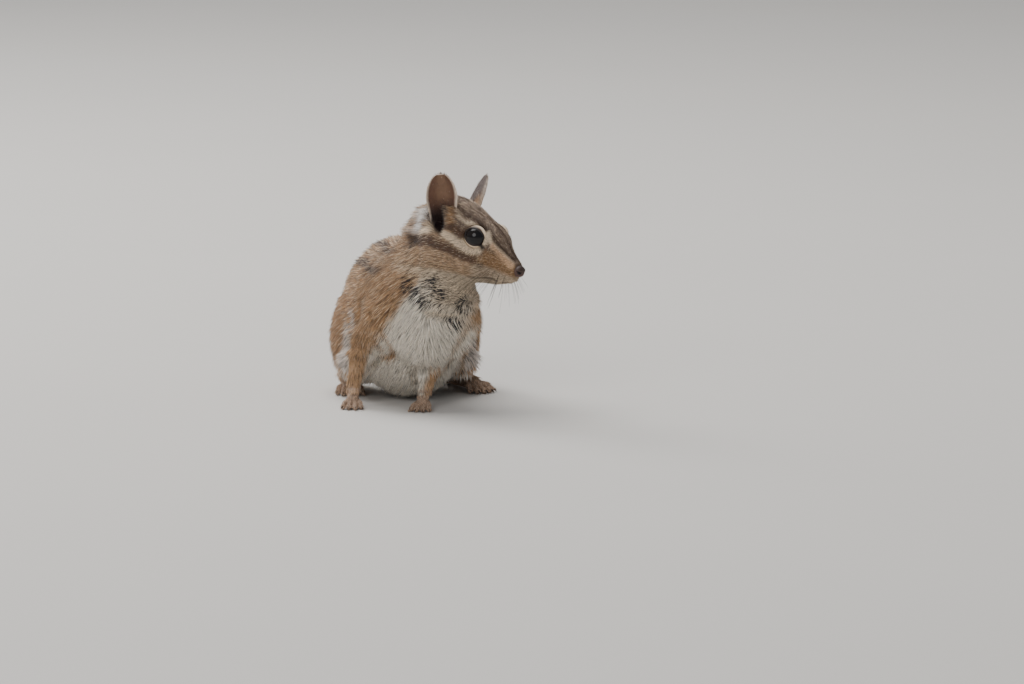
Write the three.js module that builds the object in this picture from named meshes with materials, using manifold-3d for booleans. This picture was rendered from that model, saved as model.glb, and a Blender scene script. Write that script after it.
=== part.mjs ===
// A life-size chipmunk, crouched on all fours with its head turned to its left.
// Millimetres, +Z up. The animal faces -Y, its left side is +X, and it rests on the plane z = 0.
import * as THREE from "three";
import { mergeVertices } from "three/addons/utils/BufferGeometryUtils.js";
import Module from "manifold-3d";

const wasm = await Module();
wasm.setup();
const { Manifold, Mesh } = wasm;

// Driving sizes
const GAP = 0.3; // between neighbouring pieces
const LIMB_GAP = 0.5; // round a limb, whose facets are coarse
const HEAD_AT = [18.2, -49.5, 64]; // middle of the head, between the eyes and the ears
const HEAD_YAW = 47; // degrees, to the animal's left
const HEAD_PITCH = 20; // degrees, nose down
const HEAD_ROLL = -5; // degrees, left side down
const HEAD_LENGTH = 42; // nose to nape, coat included
const EYE_RADIUS = 4.2;
const EYE_SINK = 2.6; // middle of the eye below the face
const EYE_FROM = [2.6, 0, 2.8]; // in the head's frame: forward, left, up
const EYE_WAY = [0.22, 0.96, 0.16];
const LID_RADIUS = 0.6;
const LID_POINTS = 16;
const EAR_AT = [-9.2, 9.8, 3.4];
const EAR_WAYS = { left: [-0.28, 0.42, 0.83], right: [-0.35, 0.2, 0.92] }; // base to tip, each outwards
const EAR_OPENS = [0.6, 0.78, 0.1];
const EAR_HEIGHT = 18.8;
const EAR_HALF_WIDTH = 5.9;
const EAR_THICKNESS = 0.9;
const EAR_CUP = 4;
const EAR_TIP_CUP = 0.6;
const EAR_ROOT = -0.3; // share of its height below its foot
const EAR_FOOT_WIDTH = 0.75; // against its widest
const NOSE_AT = [22.2, 0, -2.2];
const NOSE_RADII = [2.1, 2.4, 1.9];
const NOSTRIL_AT = [1.7, 1.35, -0.1]; // from the middle of the nose
const NOSTRIL_RADII = [1, 0.55, 0.5];
const MOUTH = [[8, 5.6, -10.8], [12.5, 4.8, -8.8], [16.5, 4, -7.6], [20, 2.8, -7.2], [22.4, 0, -6.9]];
const LIP_RADIUS = 0.75;
const MOUTH_RADIUS = 0.4;
// Spread in degrees from one digit to the next, claw as its length
const FINGER = { count: 4, length: 5.6, radius: 1, spread: 11, claw: 2 };
const TOE = { count: 5, length: 7.4, radius: 1.15, spread: 8, claw: 2.2 };
const TAIL_LENGTH = 98; // without the hair past its end
const TAIL_ROOT = [1, 17, 9];
const TAIL_LIES = 5; // height of its middle once it lies on the floor
const TAIL_HEADING = 80; // degrees from +X
const TAIL_SWAY = 5;
const TAIL_BRUSH = 10.5; // half the tail's width with its hair
const TAIL_FLATNESS = 0.62;
const LOCK_ROWS = 9;
const LOCKS_AROUND = 7;
const LOCK_LENGTH = 19;
const LOCK_TILT = 0.5; // 0 lays every lock level, and more turns it round the tail
const LOCK_WIDTH = 3.1; // half, where a lock is widest

const v3 = (a) => new THREE.Vector3(...a);
const mix = THREE.MathUtils.lerp;
const rad = THREE.MathUtils.degToRad;

// Signed distances, negative inside
function smoothUnion(a, b, k) {
  const h = Math.max(k - Math.abs(a - b), 0) / k;
  return Math.min(a, b) - (h * h * k) / 4;
}

function ellipsoid(centre, radii) {
  return (x, y, z) => {
    const [u, v, w] = [x - centre[0], y - centre[1], z - centre[2]];
    const near = Math.hypot(u / radii[0], v / radii[1], w / radii[2]);
    const slope = Math.hypot(u / radii[0] ** 2, v / radii[1] ** 2, w / radii[2] ** 2);
    return slope < 1e-9 ? -Math.min(...radii) : (near * (near - 1)) / slope;
  };
}

// A limb's length between two joints, with a radius at each
function bone(a, b, ra, rb) {
  const d = [b[0] - a[0], b[1] - a[1], b[2] - a[2]];
  const dd = d[0] ** 2 + d[1] ** 2 + d[2] ** 2;
  return (x, y, z) => {
    const p = [x - a[0], y - a[1], z - a[2]];
    const t = Math.min(1, Math.max(0, (p[0] * d[0] + p[1] * d[1] + p[2] * d[2]) / dd));
    return Math.hypot(p[0] - t * d[0], p[1] - t * d[1], p[2] - t * d[2]) - mix(ra, rb, t);
  };
}

// A shape made of [distance, blend] pairs, joined in order
function blended(shapes) {
  return (x, y, z) => {
    let d = shapes[0][0](x, y, z);
    for (let i = 1; i < shapes.length; i++) d = smoothUnion(d, shapes[i][0](x, y, z), shapes[i][1]);
    return d;
  };
}

const grown = (field, by) => (x, y, z) => field(x, y, z) - by;

// The head's own frame: X forward to the nose, Y to its left, Z up
const headFrame = new THREE.Matrix4().compose(
  v3(HEAD_AT),
  new THREE.Quaternion().setFromEuler(
    new THREE.Euler(rad(HEAD_ROLL), rad(HEAD_PITCH), rad(HEAD_YAW - 90), "ZYX"),
  ),
  new THREE.Vector3(1, 1, 1),
);
const headInverse = headFrame.clone().invert();
const headForward = new THREE.Vector3().setFromMatrixColumn(headFrame, 0);
const placeInHead = (p) => v3(p).applyMatrix4(headFrame).toArray();

function inHead(field) {
  const e = headInverse.elements;
  return (x, y, z) =>
    field(
      e[0] * x + e[4] * y + e[8] * z + e[12],
      e[1] * x + e[5] * y + e[9] * z + e[13],
      e[2] * x + e[6] * y + e[10] * z + e[14],
    );
}

const SIDES = [
  ["left", 1],
  ["right", -1],
];
const sided = (at, side) => [at[0], at[1] * side, at[2]];

function headForm() {
  const s = HEAD_LENGTH / 42;
  const E = (c, r) => ellipsoid(c.map((n) => n * s), r.map((n) => n * s));
  const B = (a, b, ra, rb) => bone(a.map((n) => n * s), b.map((n) => n * s), ra * s, rb * s);
  const shapes = [
    [E([-6.8, 0, 1.6], [14.3, 11.8, 11.2]), 0], // braincase
    [E([4.5, 0, 2], [10.5, 8.6, 7.2]), 5], // forehead
    [B([8, 0, -2.6], [19.8, 0, -3.2], 7.4, 3.7), 4], // muzzle
    [B([7, 0, 1.6], [19.4, 0, -2.2], 6.2, 3.4), 3], // bridge of the nose
    [B([1, 0, -9.4], [15.2, 0, -8.6], 6.2, 2.6), 4], // lower jaw
  ];
  for (const [, side] of SIDES) {
    shapes.push([E([1, 6.2 * side, -5.6], [10, 5.8, 7]), 4]); // cheek
    shapes.push([E([16.5, 2.5 * side, -5.9], [4.6, 3, 3]), 2]); // whisker pad
    shapes.push([E([5, 6.4 * side, 4.4], [6.5, 3, 2.8]), 3]); // brow
    shapes.push([E([-9, 6 * side, -5], [8.5, 7.5, 7.5]), 5]); // jowl
  }
  return blended(shapes);
}
const headShape = headForm();

// Joints of the limbs, and the widest places of the trunk, coat included
const LIMBS = {
  left: {
    shoulder: [14.5, -42, 36],
    elbow: [6, -34, 22.5],
    wrist: [1.2, -40, 7.6],
    knuckle: [-0.6, -44.6, 2.6],
    hip: [17, 0, 21],
    knee: [19.5, -12.5, 14],
    heel: [19.6, 15, 3.2],
    ball: [26.6, -5.5, 2.6],
  },
  right: {
    shoulder: [-13, -42, 36],
    elbow: [-20, -28, 24],
    wrist: [-24.4, -30, 8],
    knuckle: [-25.4, -34.8, 2.6],
    hip: [-17, 0, 21],
    knee: [-21, -13, 14],
    heel: [-19, 17, 3.2],
    ball: [-21.5, -2, 2.6],
  },
};
const core = blended([
  [ellipsoid([0, 4, 30], [20.5, 22, 25]), 0], // rump
  [ellipsoid([-1, -7, 36], [21.5, 23, 24]), 10], // loin
  [ellipsoid([0.5, -31, 39], [19.5, 22, 21]), 10], // ribs
  [ellipsoid([-0.5, -14, 20], [18.5, 25, 19]), 8], // belly
  [ellipsoid([3, -45, 35], [14.5, 10, 17]), 8], // breast
  [bone([2, -37, 48], placeInHead([-13.5, 0, -1.5]), 16, 12.2), 8], // neck
]);
const upperArm = (limb) => bone(limb.shoulder, limb.elbow, 7.8, 5.4);
const thigh = (limb) => ellipsoid(limb.hip, [11.5, 18, 17.5]);
const coat = blended([
  [core, 0],
  [inHead(headShape), 6],
  [upperArm(LIMBS.left), 6],
  [upperArm(LIMBS.right), 6],
  [thigh(LIMBS.left), 6],
  [thigh(LIMBS.right), 6],
]);
const foreLimb = (limb) =>
  blended([
    [upperArm(limb), 0],
    [bone(limb.elbow, limb.wrist, 5.6, 2.8), 3], // forearm
    [bone(limb.wrist, limb.knuckle, 2.7, 3), 2], // palm
  ]);
const hindLimb = (limb) =>
  blended([
    [bone(limb.knee, limb.heel, 7, 3.8), 0], // shank
    [bone(limb.heel, limb.ball, 3.6, 3.3), 3], // sole
  ]);

// A cell's twelve edges, each as its two corners, and its six faces, each as the four edges round it
const CORNERS = [0, 1, 2, 3, 4, 5, 6, 7].map((c) => [c & 1, (c >> 1) & 1, c >> 2]);
const EDGES = [];
for (let a = 0; a < 8; a++)
  for (const bit of [1, 2, 4]) if (!(a & bit)) EDGES.push([a, a | bit]);
const FACES = [];
for (const bit of [1, 2, 4])
  for (const side of [0, bit]) {
    const on = (c) => (c & bit) === side;
    FACES.push(EDGES.flatMap((e, i) => (on(e[0]) && on(e[1]) ? [i] : [])));
  }

// The sheets of surface that pass through a cell, each as a list of the edges it crosses
function sheetsOf(inside) {
  const sheet = EDGES.map(([a, b], i) => (inside[a] !== inside[b] ? i : -1));
  const join = (i, j) => {
    const [from, to] = [sheet[i], sheet[j]];
    for (let e = 0; e < EDGES.length; e++) if (sheet[e] === from) sheet[e] = to;
  };
  for (const face of FACES) {
    const crossed = face.filter((e) => sheet[e] >= 0);
    if (crossed.length === 2) join(...crossed);
    if (crossed.length === 4)
      for (const e of crossed)
        for (const f of crossed) {
          const shared = EDGES[e].find((c) => EDGES[f].includes(c));
          if (e < f && shared !== undefined && inside[shared]) join(e, f);
        }
  }
  return sheet;
}

// The closed surface where a field is zero, inside a box, on a grid of one cell size
function surfaceOf(field, low, high, cell) {
  const n = low.map((lo, i) => Math.ceil((high[i] - lo) / cell) + 1);
  const at = (i, j, k) => i + n[0] * (j + n[1] * k);
  const value = new Float64Array(n[0] * n[1] * n[2]);
  const eachNode = (from, visit) => {
    for (let k = from; k < n[2] - 1; k++)
      for (let j = from; j < n[1] - 1; j++) for (let i = from; i < n[0] - 1; i++) visit(i, j, k);
  };
  value.fill(cell);
  eachNode(1, (i, j, k) => {
    value[at(i, j, k)] = field(low[0] + i * cell, low[1] + j * cell, low[2] + k * cell);
  });
  const vertices = [];
  const vertexOf = new Map(); // from a cell and one of its edges
  eachNode(0, (i, j, k) => {
    const corner = CORNERS.map((c) => value[at(i + c[0], j + c[1], k + c[2])]);
    const inside = corner.map((d) => d < 0);
    if (inside.every((x) => x === inside[0])) return;
    const sheet = sheetsOf(inside);
    for (const id of new Set(sheet.filter((x) => x >= 0))) {
      const crossings = EDGES.flatMap(([a, b], e) => {
        if (sheet[e] !== id) return [];
        vertexOf.set(at(i, j, k) * EDGES.length + e, vertices.length);
        const t = corner[a] / (corner[a] - corner[b]);
        return [CORNERS[a].map((x, c) => mix(x, CORNERS[b][c], t))];
      });
      const mean = (c) => crossings.reduce((sum, p) => sum + p[c], 0) / crossings.length;
      vertices.push([i, j, k].map((g, c) => low[c] + (g + mean(c)) * cell));
    }
  });
  const faces = [];
  const edgeBetween = (a, b) => EDGES.findIndex((e) => e[0] === a && e[1] === b);
  for (let axis = 0; axis < 3; axis++) {
    const [b, c] = [(axis + 1) % 3, (axis + 2) % 3];
    const ways = [[0, 0], [1, 0], [1, 1], [0, 1]];
    const corners = ways.map(([u, v]) => (u << b) | (v << c));
    const edges = corners.map((from) => edgeBetween(from, from | (1 << axis)));
    eachNode(0, (i, j, k) => {
      const here = [i, j, k];
      if (!here[b] || !here[c]) return;
      const step = [0, 1, 2].map((x) => (x === axis ? 1 : 0));
      const inside = value[at(i, j, k)] < 0;
      if (inside === value[at(i + step[0], j + step[1], k + step[2])] < 0) return;
      const quad = ways.map(([u, v], way) => {
        const cellAt = here.map((g, x) => g - (x === b ? u : 0) - (x === c ? v : 0));
        return vertexOf.get(at(...cellAt) * EDGES.length + edges[way]);
      });
      if (!inside) quad.reverse();
      faces.push(quad[0], quad[1], quad[2], quad[0], quad[2], quad[3]);
    });
  }
  settle(vertices, field, low, high, cell);
  return solidFrom(vertices.flat(), faces);
}

// Moves each vertex onto the surface, except near the box, where the surface is only closed off
function settle(vertices, field, low, high, cell) {
  const h = 0.01;
  for (const p of vertices) {
    if (p.some((x, i) => x < low[i] + 1.5 * cell || x > high[i] - 1.5 * cell)) continue;
    for (let step = 0; step < 3; step++) {
      const d = field(...p);
      const g = [0, 1, 2].map((i) => {
        const q = [...p];
        q[i] += h;
        return (field(...q) - d) / h;
      });
      const gg = g[0] ** 2 + g[1] ** 2 + g[2] ** 2;
      const move = Math.min(Math.abs(d) / Math.sqrt(gg), cell / 3) * Math.sign(d);
      for (let i = 0; i < 3; i++) p[i] -= (move * g[i]) / Math.sqrt(gg);
    }
  }
}

function solidFrom(positions, triangles) {
  const made = new Manifold(
    new Mesh({
      numProp: 3,
      vertProperties: new Float32Array(positions),
      triVerts: new Uint32Array(triangles),
    }),
  );
  if (made.volume() < 0) throw new Error("a piece is inside out");
  return made;
}

// A three.js geometry as a solid
function solidOf(geometry, matrix) {
  const plain = new THREE.BufferGeometry();
  const flat = geometry.index ? geometry.toNonIndexed() : geometry;
  plain.setAttribute("position", flat.getAttribute("position"));
  if (matrix) plain.applyMatrix4(matrix);
  const merged = mergeVertices(plain, 1e-4);
  return solidFrom(merged.attributes.position.array, merged.index.array);
}

// The piece of a solid on the side of a plane that its normal points to
function cutAt(solid, point, normal, shift = 0) {
  const n = v3(normal).normalize();
  return solid.trimByPlane(n.toArray(), n.dot(v3(point)) + shift);
}

function boxAround(points, margin) {
  const ends = (pick) => [0, 1, 2].map((i) => pick(...points.map((p) => p[i])));
  return [ends(Math.min).map((x) => x - margin), ends(Math.max).map((x) => x + margin)];
}

function largest(solid) {
  const bodies = solid.decompose();
  return bodies.reduce((a, b) => (b.volume() > a.volume() ? b : a));
}

const joined = (solids) => solids.reduce((a, b) => a.add(b));

// A repeatable row of numbers from 0 to 1
function seeded(start) {
  let state = start;
  return () => {
    state = (state * 16807) % 2147483647;
    return state / 2147483647;
  };
}

// A round body in a frame, or in the row's own
function ball(centre, radii, around = 18, frame = new THREE.Matrix4()) {
  const matrix = frame.clone().multiply(new THREE.Matrix4().makeTranslation(...centre)).scale(v3(radii));
  return solidOf(new THREE.SphereGeometry(1, around, Math.ceil(around * 0.6)), matrix);
}
const round = (r) => [r, r, r];

// A closed tube through some points, with a half-width and a half-height at each
function tube(points, widths, heights, up, sides) {
  const at = points.map(v3);
  const positions = [];
  at.forEach((p, i) => {
    const along = at[Math.min(i + 1, at.length - 1)].clone().sub(at[Math.max(i - 1, 0)]).normalize();
    const across = along.clone().cross(v3(up)).normalize();
    const over = across.clone().cross(along);
    for (let k = 0; k < sides; k++) {
      const turn = (2 * Math.PI * k) / sides;
      const q = p.clone().addScaledVector(across, Math.cos(turn) * widths[i]);
      positions.push(...q.addScaledVector(over, Math.sin(turn) * heights[i]));
    }
  });
  const ends = at.length * sides;
  positions.push(...at[0], ...at[at.length - 1]);
  const faces = [];
  for (let k = 0; k < sides; k++) {
    const next = (k + 1) % sides;
    for (let i = 0; i < at.length - 1; i++) {
      const [a, b] = [i * sides + k, i * sides + next];
      faces.push(a, a + sides, b + sides, a, b + sides, b);
    }
    faces.push(ends, k, next, ends + 1, ends - sides + next, ends - sides + k);
  }
  return solidFrom(positions, faces);
}

// The nearest place on the face to a point, both in the head's frame
function onFace(p) {
  const far = 1000;
  const reach = 6;
  const moved = [...p];
  settle([moved], headShape, round(-far), round(far), reach);
  return moved;
}

const group = new THREE.Group();
const COLOURS = {
  coat: 0xa9794f,
  crown: 0x7d5f45,
  belly: 0xd9d3c4,
  eye: 0x0c0a09,
  ear: 0x6e5444,
  paw: 0x8c6a54,
  tail: 0x7a5a3e,
  nose: 0x5a3f3a,
};
const FINE = 0.13; // how far a facet may lie from the made shape

function add(name, solid, colour, roughness = 0.9) {
  const mesh = largest(largest(solid).simplify(FINE)).getMesh();
  const geometry = new THREE.BufferGeometry();
  geometry.setAttribute("position", new THREE.BufferAttribute(new Float32Array(mesh.vertProperties), 3));
  geometry.setIndex(new THREE.BufferAttribute(new Uint32Array(mesh.triVerts), 1));
  geometry.computeVertexNormals();
  const material = new THREE.MeshStandardMaterial({ color: colour, roughness, metalness: 0 });
  const made = new THREE.Mesh(geometry, material);
  made.name = name;
  group.add(made);
}

// Planes between the parts, each as a point and the way to the next part forward or up
const NAPE = [placeInHead([-13.5, 0, 0]), [headForward.x, headForward.y, 0.15]];
const COLLAR = [[2, -41, 51], [0.3, -0.55, 0.78]];
const WAIST = [[0, -20, 0], [0, -1, 0]];
const LOIN = [[0, 3, 0], [0, -1, 0]];
const ELBOWS = [[0, 0, 22], [0, 0, 1]];
const WRISTS = [[0, 0, 7], [0, 0, 1]];
const ANKLES = [[0, 0, 6], [0, 0, 1]];
const KNEES = [[0, 0, 15], [0, -0.25, 1]];
const FLOOR = [[0, 0, 0], [0, 0, 1]];
const ahead = (solid, plane, shift = GAP / 2) => cutAt(solid, plane[0], plane[1], shift);
const behind = (solid, plane) => cutAt(solid, plane[0], plane[1].map((n) => -n), GAP / 2);
const onFloor = (solid) => ahead(solid, FLOOR, 0);

// What each shoulder and haunch takes out of the trunk, as a middle and three radii
const SHOULDERS = {
  left: [[12, -38, 31], [11, 12, 15]],
  right: [[-19, -35, 31], [10.5, 12, 14]],
};
const HAUNCHES = {
  left: [[22, -1, 19], [13.5, 20, 19]],
  right: [[-22, -1, 19], [13.5, 20, 19]],
};
const wider = ([centre, radii], by) => [centre, radii.map((r) => r + by)];
const TRUNK_CELL = 4.8;
const HEAD_CELL = 2.45;
const LIMB_CELL = 2.7;

function foreLimbSolid(limb, by) {
  const [low, high] = boxAround([limb.elbow, limb.wrist, limb.knuckle], 10);
  return surfaceOf(grown(foreLimb(limb), by), low, high, LIMB_CELL);
}

function hindLimbSolid(limb, by) {
  const [low, high] = boxAround([limb.knee, limb.heel, limb.ball], 10);
  return surfaceOf(grown(hindLimb(limb), by), low, high, LIMB_CELL);
}

// Trunk
const trunk = surfaceOf(coat, [-38, -72, -5], [38, 36, 84], TRUNK_CELL);
let body = onFloor(trunk);
for (const [s] of SIDES) {
  body = body.subtract(ahead(ball(...wider(SHOULDERS[s], GAP)), ELBOWS, -GAP / 2));
  body = body.subtract(ahead(ball(...wider(HAUNCHES[s], GAP)), ANKLES, -GAP / 2));
  body = body.subtract(foreLimbSolid(LIMBS[s], LIMB_GAP));
  body = body.subtract(hindLimbSolid(LIMBS[s], LIMB_GAP));
}
add("chest", behind(ahead(body, WAIST), COLLAR), COLOURS.belly);
add("belly", behind(ahead(body, LOIN), WAIST), COLOURS.coat);
add("rump", behind(body, LOIN), COLOURS.coat);
add("neck", behind(ahead(trunk, COLLAR), NAPE), COLOURS.coat);

// Head
const headBlock = surfaceOf(coat, [-12, -88, 38], [50, -22, 90], HEAD_CELL);
let head = ahead(ahead(headBlock, NAPE), COLLAR);

function mouthLine() {
  const right = MOUTH.slice(0, -1).map((p) => sided(p, -1));
  const corners = [...MOUTH, ...right.reverse()].map((p) => v3(onFace(p)));
  return new THREE.CatmullRomCurve3(corners).getPoints(14).map((p) => onFace(p.toArray()));
}

function mouthTube(radius) {
  const points = mouthLine().map(placeInHead);
  const radii = points.map(() => radius);
  return tube(points, radii, radii, headForward.toArray(), 6);
}
head = head.add(mouthTube(LIP_RADIUS)).subtract(mouthTube(MOUTH_RADIUS));

function eyePlace(side) {
  const way = v3(sided(EYE_WAY, side)).normalize();
  const at = (reach) => v3(EYE_FROM).addScaledVector(way, reach);
  let [inside, outside] = [0, 20];
  while (outside - inside > 0.01) {
    const middle = (inside + outside) / 2;
    if (headShape(...at(middle)) < 0) inside = middle;
    else outside = middle;
  }
  return { centre: at(inside - EYE_SINK), way };
}

// The lids' edge, where the eyeball comes out of the face
function lids({ centre, way }, side) {
  const forward = new THREE.Vector3(1, 0, -0.25).projectOnPlane(way).normalize();
  const up = way.clone().cross(forward).multiplyScalar(-side);
  const points = [];
  for (let k = 0; k < LID_POINTS; k++) {
    const turn = (2 * Math.PI * k) / LID_POINTS;
    const outward = forward.clone().multiplyScalar(Math.cos(turn)).addScaledVector(up, Math.sin(turn));
    const at = (lean) => {
      const p = way.clone().multiplyScalar(Math.cos(lean)).addScaledVector(outward, Math.sin(lean));
      return p.multiplyScalar(EYE_RADIUS + LID_RADIUS / 2).add(centre);
    };
    let [outside, inside] = [0, Math.PI / 2];
    while (inside - outside > 0.01) {
      const lean = (outside + inside) / 2;
      if (headShape(...at(lean)) < 0) inside = lean;
      else outside = lean;
    }
    points.push(at(inside));
  }
  const edge = new THREE.CatmullRomCurve3(points, true);
  return solidOf(new THREE.TubeGeometry(edge, LID_POINTS, LID_RADIUS, 5, true), headFrame);
}

for (const [s, side] of SIDES) {
  const eye = eyePlace(side);
  const centre = eye.centre.toArray();
  head = head.add(lids(eye, side));
  head = head.subtract(ball(centre, round(EYE_RADIUS + GAP), 16, headFrame));
  add("eye_" + s, ball(centre, round(EYE_RADIUS), 15, headFrame), COLOURS.eye, 0.1);
}

function nostril(side) {
  const at = NOSE_AT.map((x, i) => x + sided(NOSTRIL_AT, side)[i]);
  return ball(at, NOSTRIL_RADII, 8, headFrame);
}
head = head.subtract(ball(NOSE_AT, NOSE_RADII.map((r) => r + GAP), 14, headFrame));
const nose = ball(NOSE_AT, NOSE_RADII, 14, headFrame);
add("nose", nose.subtract(nostril(1)).subtract(nostril(-1)), COLOURS.nose, 0.5);
add("head", head, COLOURS.crown);

// A cupped leaf, its two faces alike
function earLeaf(way, side) {
  const up = v3(sided(way, side)).normalize();
  const opens = v3(sided(EAR_OPENS, side)).projectOnPlane(up).normalize();
  const across = up.clone().cross(opens).normalize();
  const [rows, columns] = [10, 8];
  const positions = [];
  for (const layer of [0, 1])
    for (let i = 0; i <= rows; i++) {
      const t = mix(EAR_ROOT, 1, i / rows);
      const narrowing = Math.sqrt(1 - Math.max(0, (t - 0.5) / 0.51) ** 2);
      const half = EAR_HALF_WIDTH * narrowing * mix(EAR_FOOT_WIDTH, 1, Math.min(1, Math.max(0, t * 2)));
      const cup = mix(EAR_CUP, EAR_TIP_CUP, Math.max(0, t));
      for (let j = 0; j <= columns; j++) {
        const s = (2 * j) / columns - 1;
        const p = v3(sided(EAR_AT, side)).addScaledVector(up, EAR_HEIGHT * t);
        p.addScaledVector(across, half * s);
        p.addScaledVector(opens, -cup * (1 - s * s) * narrowing - layer * EAR_THICKNESS);
        positions.push(...p.applyMatrix4(headFrame));
      }
    }
  const width = columns + 1;
  const back = (rows + 1) * width;
  const quads = [];
  for (let i = 0; i < rows; i++)
    for (let j = 0; j < columns; j++) {
      const a = i * width + j;
      quads.push([a, a + 1, a + width + 1, a + width]);
      quads.push([back + a, back + a + width, back + a + width + 1, back + a + 1]);
    }
  const rim = [];
  for (let j = 0; j < columns; j++) rim.push(j);
  for (let i = 0; i < rows; i++) rim.push(i * width + columns);
  for (let j = columns; j > 0; j--) rim.push(rows * width + j);
  for (let i = rows; i > 0; i--) rim.push(i * width);
  rim.forEach((a, k) => {
    const b = rim[(k + 1) % rim.length];
    quads.push([a, a + back, b + back, b]);
  });
  return solidFrom(positions, quads.flatMap(([a, b, c, d]) => [a, b, c, a, c, d]));
}

for (const [s, side] of SIDES) {
  const foot = placeInHead(sided(EAR_AT, side));
  const clear = surfaceOf(grown(coat, GAP), foot.map((x) => x - 16), foot.map((x) => x + 14), HEAD_CELL);
  add("ear_" + s, earLeaf(EAR_WAYS[s], side).subtract(clear), COLOURS.ear);
}

const DIGIT_ROOT = 2; // sunk in the palm or sole
const DIGIT_SPACING = 1.55; // against its radius
const CLAW_TIP_HEIGHT = 0.3;

// A finger or toe: over its knuckle, down to its pad, and on to the end of its claw
function digit(base, heading, length, radius, claw) {
  const way = [Math.cos(heading), Math.sin(heading)];
  const at = (reach, z) => [base[0] + way[0] * reach, base[1] + way[1] * reach, z];
  const points = [
    at(-DIGIT_ROOT, base[2]),
    at(length * 0.35, radius * 2),
    at(length * 0.92, radius * 0.85),
    at(length, radius * 0.95),
    at(length + claw * 0.6, radius * 0.85),
    at(length + claw, CLAW_TIP_HEIGHT),
  ];
  const radii = [1.05, 1, 0.8, 0.42, 0.32, 0.08].map((r) => r * radius);
  return tube(points, radii, radii, [0, 0, 1], 5);
}

function digits(from, to, kind) {
  const heading = Math.atan2(to[1] - from[1], to[0] - from[0]);
  const across = [-Math.sin(heading), Math.cos(heading)];
  const made = [];
  for (let k = 0; k < kind.count; k++) {
    const off = k - (kind.count - 1) / 2;
    const middle = 1 - 0.1 * off * off;
    const base = to.map((x, i) => x + (across[i] ?? 0) * off * kind.radius * DIGIT_SPACING);
    const turned = heading + rad(kind.spread * off);
    made.push(digit(base, turned, kind.length * middle, kind.radius, kind.claw));
  }
  return joined(made);
}

for (const [s] of SIDES) {
  const limb = LIMBS[s];
  const shoulderBox = boxAround([SHOULDERS[s][0]], 18);
  const shoulder = surfaceOf(coat, ...shoulderBox, TRUNK_CELL * 0.7);
  const arm = behind(shoulder.intersect(ball(...SHOULDERS[s])), COLLAR);
  add("upper_arm_" + s, ahead(arm, ELBOWS), COLOURS.coat);
  const fore = foreLimbSolid(limb, 0);
  add("forearm_" + s, ahead(behind(fore, ELBOWS), WRISTS), COLOURS.coat);
  const hand = behind(fore, WRISTS).add(digits(limb.wrist, limb.knuckle, FINGER));
  add("hand_" + s, onFloor(hand), COLOURS.paw);

  const haunchBox = boxAround([HAUNCHES[s][0]], 25);
  const hind = hindLimbSolid(limb, 0);
  const haunch = surfaceOf(coat, ...haunchBox, TRUNK_CELL * 0.9).intersect(ball(...HAUNCHES[s]));
  const leg = ahead(haunch.add(hind), ANKLES);
  add("thigh_" + s, ahead(leg, KNEES), COLOURS.coat);
  add("shank_" + s, behind(leg, KNEES), COLOURS.coat);
  const foot = behind(hind, ANKLES).add(digits(limb.heel, limb.ball, TOE));
  add("foot_" + s, onFloor(foot), COLOURS.paw);
}

// Tail, laid on the floor behind the animal
function tailPoint(t) {
  const heading = rad(TAIL_HEADING);
  const sway = TAIL_SWAY * Math.sin(2 * Math.PI * t);
  const reach = TAIL_LENGTH * t;
  return [
    TAIL_ROOT[0] + Math.cos(heading) * reach - Math.sin(heading) * sway,
    TAIL_ROOT[1] + Math.sin(heading) * reach + Math.cos(heading) * sway,
    mix(TAIL_ROOT[2], TAIL_LIES, Math.min(1, t * 5)),
  ];
}

function tailCut(t) {
  const [a, b] = [tailPoint(t - 0.01), tailPoint(t + 0.01)];
  return [tailPoint(t), [a[0] - b[0], a[1] - b[1], 0]];
}

// Half the brush's width at a place along the tail, out to the tips of its hair
function brush(t) {
  const narrowing = Math.sqrt(Math.max(0, 1 - Math.max(0, (t - 0.6) / 0.62) ** 2));
  return mix(TAIL_BRUSH * 0.75, TAIL_BRUSH, Math.min(1, t * 3)) * narrowing;
}

// The tail under its hair, less than half as wide as the brush
function tailCore() {
  const steps = 12;
  const ts = Array.from({ length: steps + 1 }, (_, i) => i / steps);
  const widths = ts.map((t) => brush(t) * 0.45);
  const heights = widths.map((w) => w * TAIL_FLATNESS * 1.1);
  return tube(ts.map(tailPoint), widths, heights, [0, 0, 1], 8);
}

// One lock: a flat blade that leaves the core, bends back along the tail and tapers to its tip
function lock({ t, turn, length, width }, by) {
  const heading = rad(TAIL_HEADING);
  const side = [-Math.sin(heading), Math.cos(heading)];
  const out = Math.cos(turn);
  const over = Math.sin(turn) * TAIL_FLATNESS;
  const place = ([along, reach]) => {
    const at = t + (along * length) / TAIL_LENGTH;
    const [x, y, z] = tailPoint(at);
    const r = brush(t) * reach;
    return [x + side[0] * out * r, y + side[1] * out * r, z + over * r];
  };
  const points = [[0, 0.2], [0.5, 0.74], [1, 1]].map(place);
  const widths = [0.5, 1, 0.05].map((w) => w * width + by);
  const heights = [0.6, 0.7, 0.1].map((h) => h + by);
  const level = [side[0] * out * LOCK_TILT, side[1] * out * LOCK_TILT, over < 0 ? -1 : 1];
  return tube(points, widths, heights, level, 4);
}

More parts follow.
